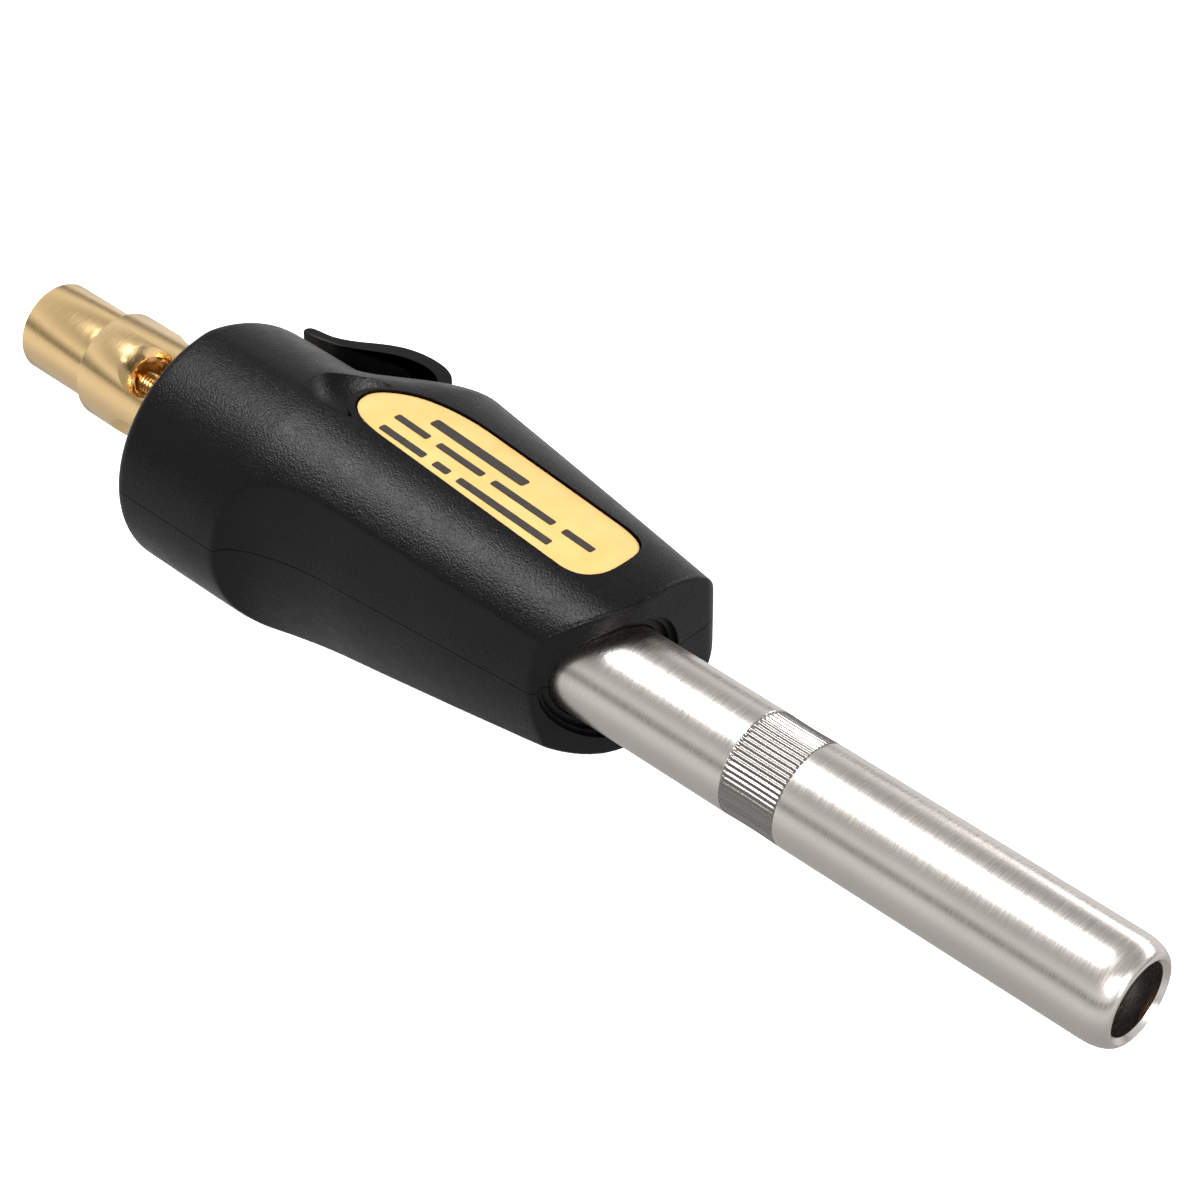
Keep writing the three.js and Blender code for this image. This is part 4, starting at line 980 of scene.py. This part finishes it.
def make_flame_tube():
    """Stainless tube with a straight-knurled crimp band and a rolled-in mouth."""
    inner = TUBE_R - TUBE_WALL
    rear = MIXER_SHOULDER + GAP
    sides = CRIMP_RIDGES * 8
    turns = np.linspace(0, 2 * math.pi, sides, endpoint=False)
    ridge = 0.5 + 0.5 * np.cos(turns * CRIMP_RIDGES)
    crimp_end = CRIMP_START + CRIMP_LENGTH
    rings = []

    def ring(x, radius, teeth=0.0):
        r = radius - teeth * (1 - ridge)
        rings.append(np.stack([np.full(sides, x), r * np.cos(turns), r * np.sin(turns)], 1))

    for x in (rear, -40, -18, -10, 0, 20, 40, CRIMP_START - 0.35):
        ring(x, TUBE_R)
    ring(CRIMP_START, TUBE_R - 0.01)
    ring(CRIMP_START + 0.12, TUBE_R - 0.04, 0.10)
    ring(CRIMP_START + 0.35, TUBE_R - 0.02, 0.30)
    for t in np.linspace(0, 1, 9):
        x = lerp(CRIMP_START + 0.7, crimp_end - 0.7, t)
        ring(x, TUBE_R - 0.02 - 0.10 * math.sin(math.pi * t), 0.34)
    ring(crimp_end - 0.35, TUBE_R - 0.02, 0.30)
    ring(crimp_end - 0.12, TUBE_R - 0.04, 0.10)
    ring(crimp_end, TUBE_R - 0.01)
    for x in (crimp_end + 0.35, 60, 75, 90, 105, TUBE_END - LIP_LENGTH - 1):
        ring(x, TUBE_R)
    lip_start = TUBE_END - LIP_LENGTH
    for t in np.linspace(0, math.pi / 2, 13):
        ring(lip_start + LIP_LENGTH * math.sin(t), TUBE_R - (TUBE_R - LIP_R) * (1 - math.cos(t)))
    for turn in np.linspace(math.pi / 4, math.pi, 4):
        ring(TUBE_END - LIP_EDGE * (1 - math.cos(turn)), LIP_R - LIP_EDGE * (1 - math.cos(turn)))
    for t in np.linspace(math.pi / 2, 0, 11)[1:]:
        drop = (TUBE_R - LIP_R) * (1 - math.cos(t)) * (1 - TUBE_WALL / LIP_R)
        ring(lip_start + (LIP_LENGTH - TUBE_WALL) * math.sin(t), inner - drop)
    for x in (100, 60, 20, -5, -20, rear):
        ring(x, inner)
    tube = rings_solid("tube", rings, closed_ends=False)
    half = LEAD_SLOT_WIDTH / 2
    cut(tube, block(LEAD_SLOT_START, LEAD_SLOT_START + LEAD_SLOT_LENGTH, 0, TUBE_R + 2, -half, half))
    finish_piece(tube, "flame_tube_knurled", "stainless", sharp=50, replaced=["flame_tube"])


def make_burner_head():
    rear = CRIMP_START - 0.8
    front = rear + HEAD_LENGTH
    radius = TUBE_R - TUBE_WALL - FIT - 0.12
    head = turned("head", [(rear, 0), (rear, radius - 0.4), (rear + 0.4, radius), (front - 0.4, radius),
                           (front, radius - 0.4), (front, 0)], 128)
    cut(head, rod(rear - 1, rear + HEAD_SEAT_DEPTH, MIXING_TUBE_R + FIT),
        turned("nozzle", [(rear, 0), (rear, HEAD_NOZZLE_R), (front - HEAD_FLARE_LENGTH, HEAD_NOZZLE_R),
                          (front + 0.1, HEAD_NOZZLE_R + HEAD_FLARE), (front + 0.1, 0)], 96))
    for i in range(1, PORT_COUNT):
        turn = i / PORT_COUNT * 2 * math.pi
        place = (ELECTRODE_Y * math.cos(turn), ELECTRODE_Y * math.sin(turn))
        cut(head, rod(rear - 1, front + 1, PORT_R, 24, *place))
    half = INSULATOR_R + FIT
    cut(head, join(block(rear - 1, front + 1, ELECTRODE_Y, radius + 1, -half, half),
                   rod(rear - 1, front + 1, half, 48, ELECTRODE_Y)))
    finish_piece(head, "burner_head_turned", "inner_brass", sharp=35, replaced=["burner_head"])


def make_screws():
    for number, (x, y, seat) in enumerate(SCREWS, 1):
        head = SCREW_HEAD_R
        profile = [(0, 0), (0, head * 0.72), (0.25, head * 0.9), (0.7, head), (SCREW_HEAD - 0.1, head),
                   (SCREW_HEAD - 0.1, SCREW_R)]
        for i in range(1, 17):
            profile.append((SCREW_HEAD + i * SCREW_PITCH, SCREW_R if i % 2 else SCREW_R - 0.28))
        profile += [(SCREW_LENGTH, 0.2), (SCREW_LENGTH, 0)]
        screw = turned("screw", profile, 64)
        for turn in (0, math.pi / 2):
            slot = block(-0.1, SLOT_DEPTH, -SLOT_LONG, SLOT_LONG, -SLOT_WIDE, SLOT_WIDE)
            slot.data.transform(Matrix.Rotation(turn + 0.4 * number, 4, "X"))
            cut(screw, slot)
        screw.data.transform(Matrix.Translation((x, y, seat - SCREW_HEAD))
                             @ Matrix.Rotation(-math.pi / 2, 4, "Y"))
        finish_piece(screw, f"shell_screw_{number}_turned", "screw_steel", sharp=30,
                     replaced=[f"shell_screw_{number}"])


# ---- Trigger and igniter ------------------------------------------------------------------------------
def trigger_outline():
    boss_top = PIVOT_Y + TRIGGER_BOSS_R
    tip = (-94.4, 25.4)
    outline = [tip]
    outline += bezier(tip, (-95, 26.6), (-94.2, 27.4), TRIGGER_TAIL, 8)
    outline += bezier(TRIGGER_TAIL, (-83, 28), (-81, 35.9), TRIGGER_CREST, 36)
    outline += bezier(TRIGGER_CREST, (-65, 36), (-62.5, 34.6), (-61.6, 32.2), 16)
    outline += bezier((-61.6, 32.2), (-60.8, 30.2), (-59, boss_top), (PIVOT_X, boss_top), 12)
    outline += arc(PIVOT_X, PIVOT_Y, TRIGGER_BOSS_R, math.pi / 2, -math.pi * 0.8, 24)[1:]
    inner_crest = (TRIGGER_CREST[0], TRIGGER_CREST[1] - TRIGGER_LEAF)
    outline += bezier(outline[-1], (-62.6, 27.6), (-62.6, inner_crest[1]), inner_crest, 20)
    outline += bezier(inner_crest, (-79, 33.2), (-82, 26.4), (-91.8, 25.6), 36)
    return outline


def make_trigger():
    lever = prism(trigger_outline(), -TRIGGER_HALF_WIDTH, TRIGGER_HALF_WIDTH)
    bevel = lever.modifiers.new("edge", "BEVEL")
    bevel.width = 0.55
    bevel.segments = 4
    bevel.limit_method = "ANGLE"
    bevel.angle_limit = math.radians(60)
    settle(lever)
    nose_x = PLUNGER_END - GAP - ARM_NOSE_R
    arm = [(PIVOT_X - 2.4, PIVOT_Y), (nose_x - ARM_NOSE_R, PIEZO_Y)]
    arm += arc(nose_x, PIEZO_Y, ARM_NOSE_R, math.pi, 2 * math.pi, 20)[1:]
    arm += [(nose_x + ARM_NOSE_R, PIEZO_Y + PLUNGER_HEAD_R + 1), (PIVOT_X + 1.5, PIVOT_Y)]
    join(lever, prism(arm, -ARM_HALF_WIDTH, ARM_HALF_WIDTH))
    cut(lever, post(PIVOT_X, PIVOT_Y, -BEYOND, BEYOND, PIN_R + FIT))
    finish_piece(lever, "trigger_lever", "trigger_plastic", body="trigger", replaced=["trigger"])


def make_spring():
    start = PIEZO_REAR + PLUNGER_INSERT + GAP + SPRING_WIRE / 2
    end = PIEZO_REAR + PLUNGER_BORE_DEPTH - GAP - SPRING_WIRE / 2
    coil_r = PLUNGER_R - SPRING_WIRE
    steps = 120
    rings = []
    for i in range(steps + 1):
        turn = i / steps * SPRING_TURNS * 2 * math.pi
        out = Vector((0, math.cos(turn), math.sin(turn)))
        centre = Vector((lerp(start, end, i / steps), PIEZO_Y, 0)) + out * coil_r
        rings.append([centre + (out * math.cos(t) + Vector((1, 0, 0)) * math.sin(t)) * SPRING_WIRE / 2
                      for t in np.linspace(0, 2 * math.pi, 12, endpoint=False)])
    spring = rings_solid("spring", rings)
    finish_piece(spring, "piezo_spring_coil", "spring_steel", sharp=0, replaced=["piezo_spring"])
    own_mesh(spring)


def dress_cad_nodes():
    """The hidden pieces keep their CAD shape and take a finished material."""
    slots = {row["node"]: row["material_slot"] for row in frame["record"]["subparts"]}
    for name, node in frame["nodes"].items():
        node.data.materials.clear()
        node.data.materials.append(MATERIALS[slots[name]])


MATERIALS = make_materials()
place_camera()
light_scene()
make_floor()
dress_cad_nodes()
make_shells()
make_label()
make_mixer_body()
make_inlet_socket()
make_gas_jet()
make_flame_tube()
make_burner_head()
make_screws()
make_trigger()
make_spring()
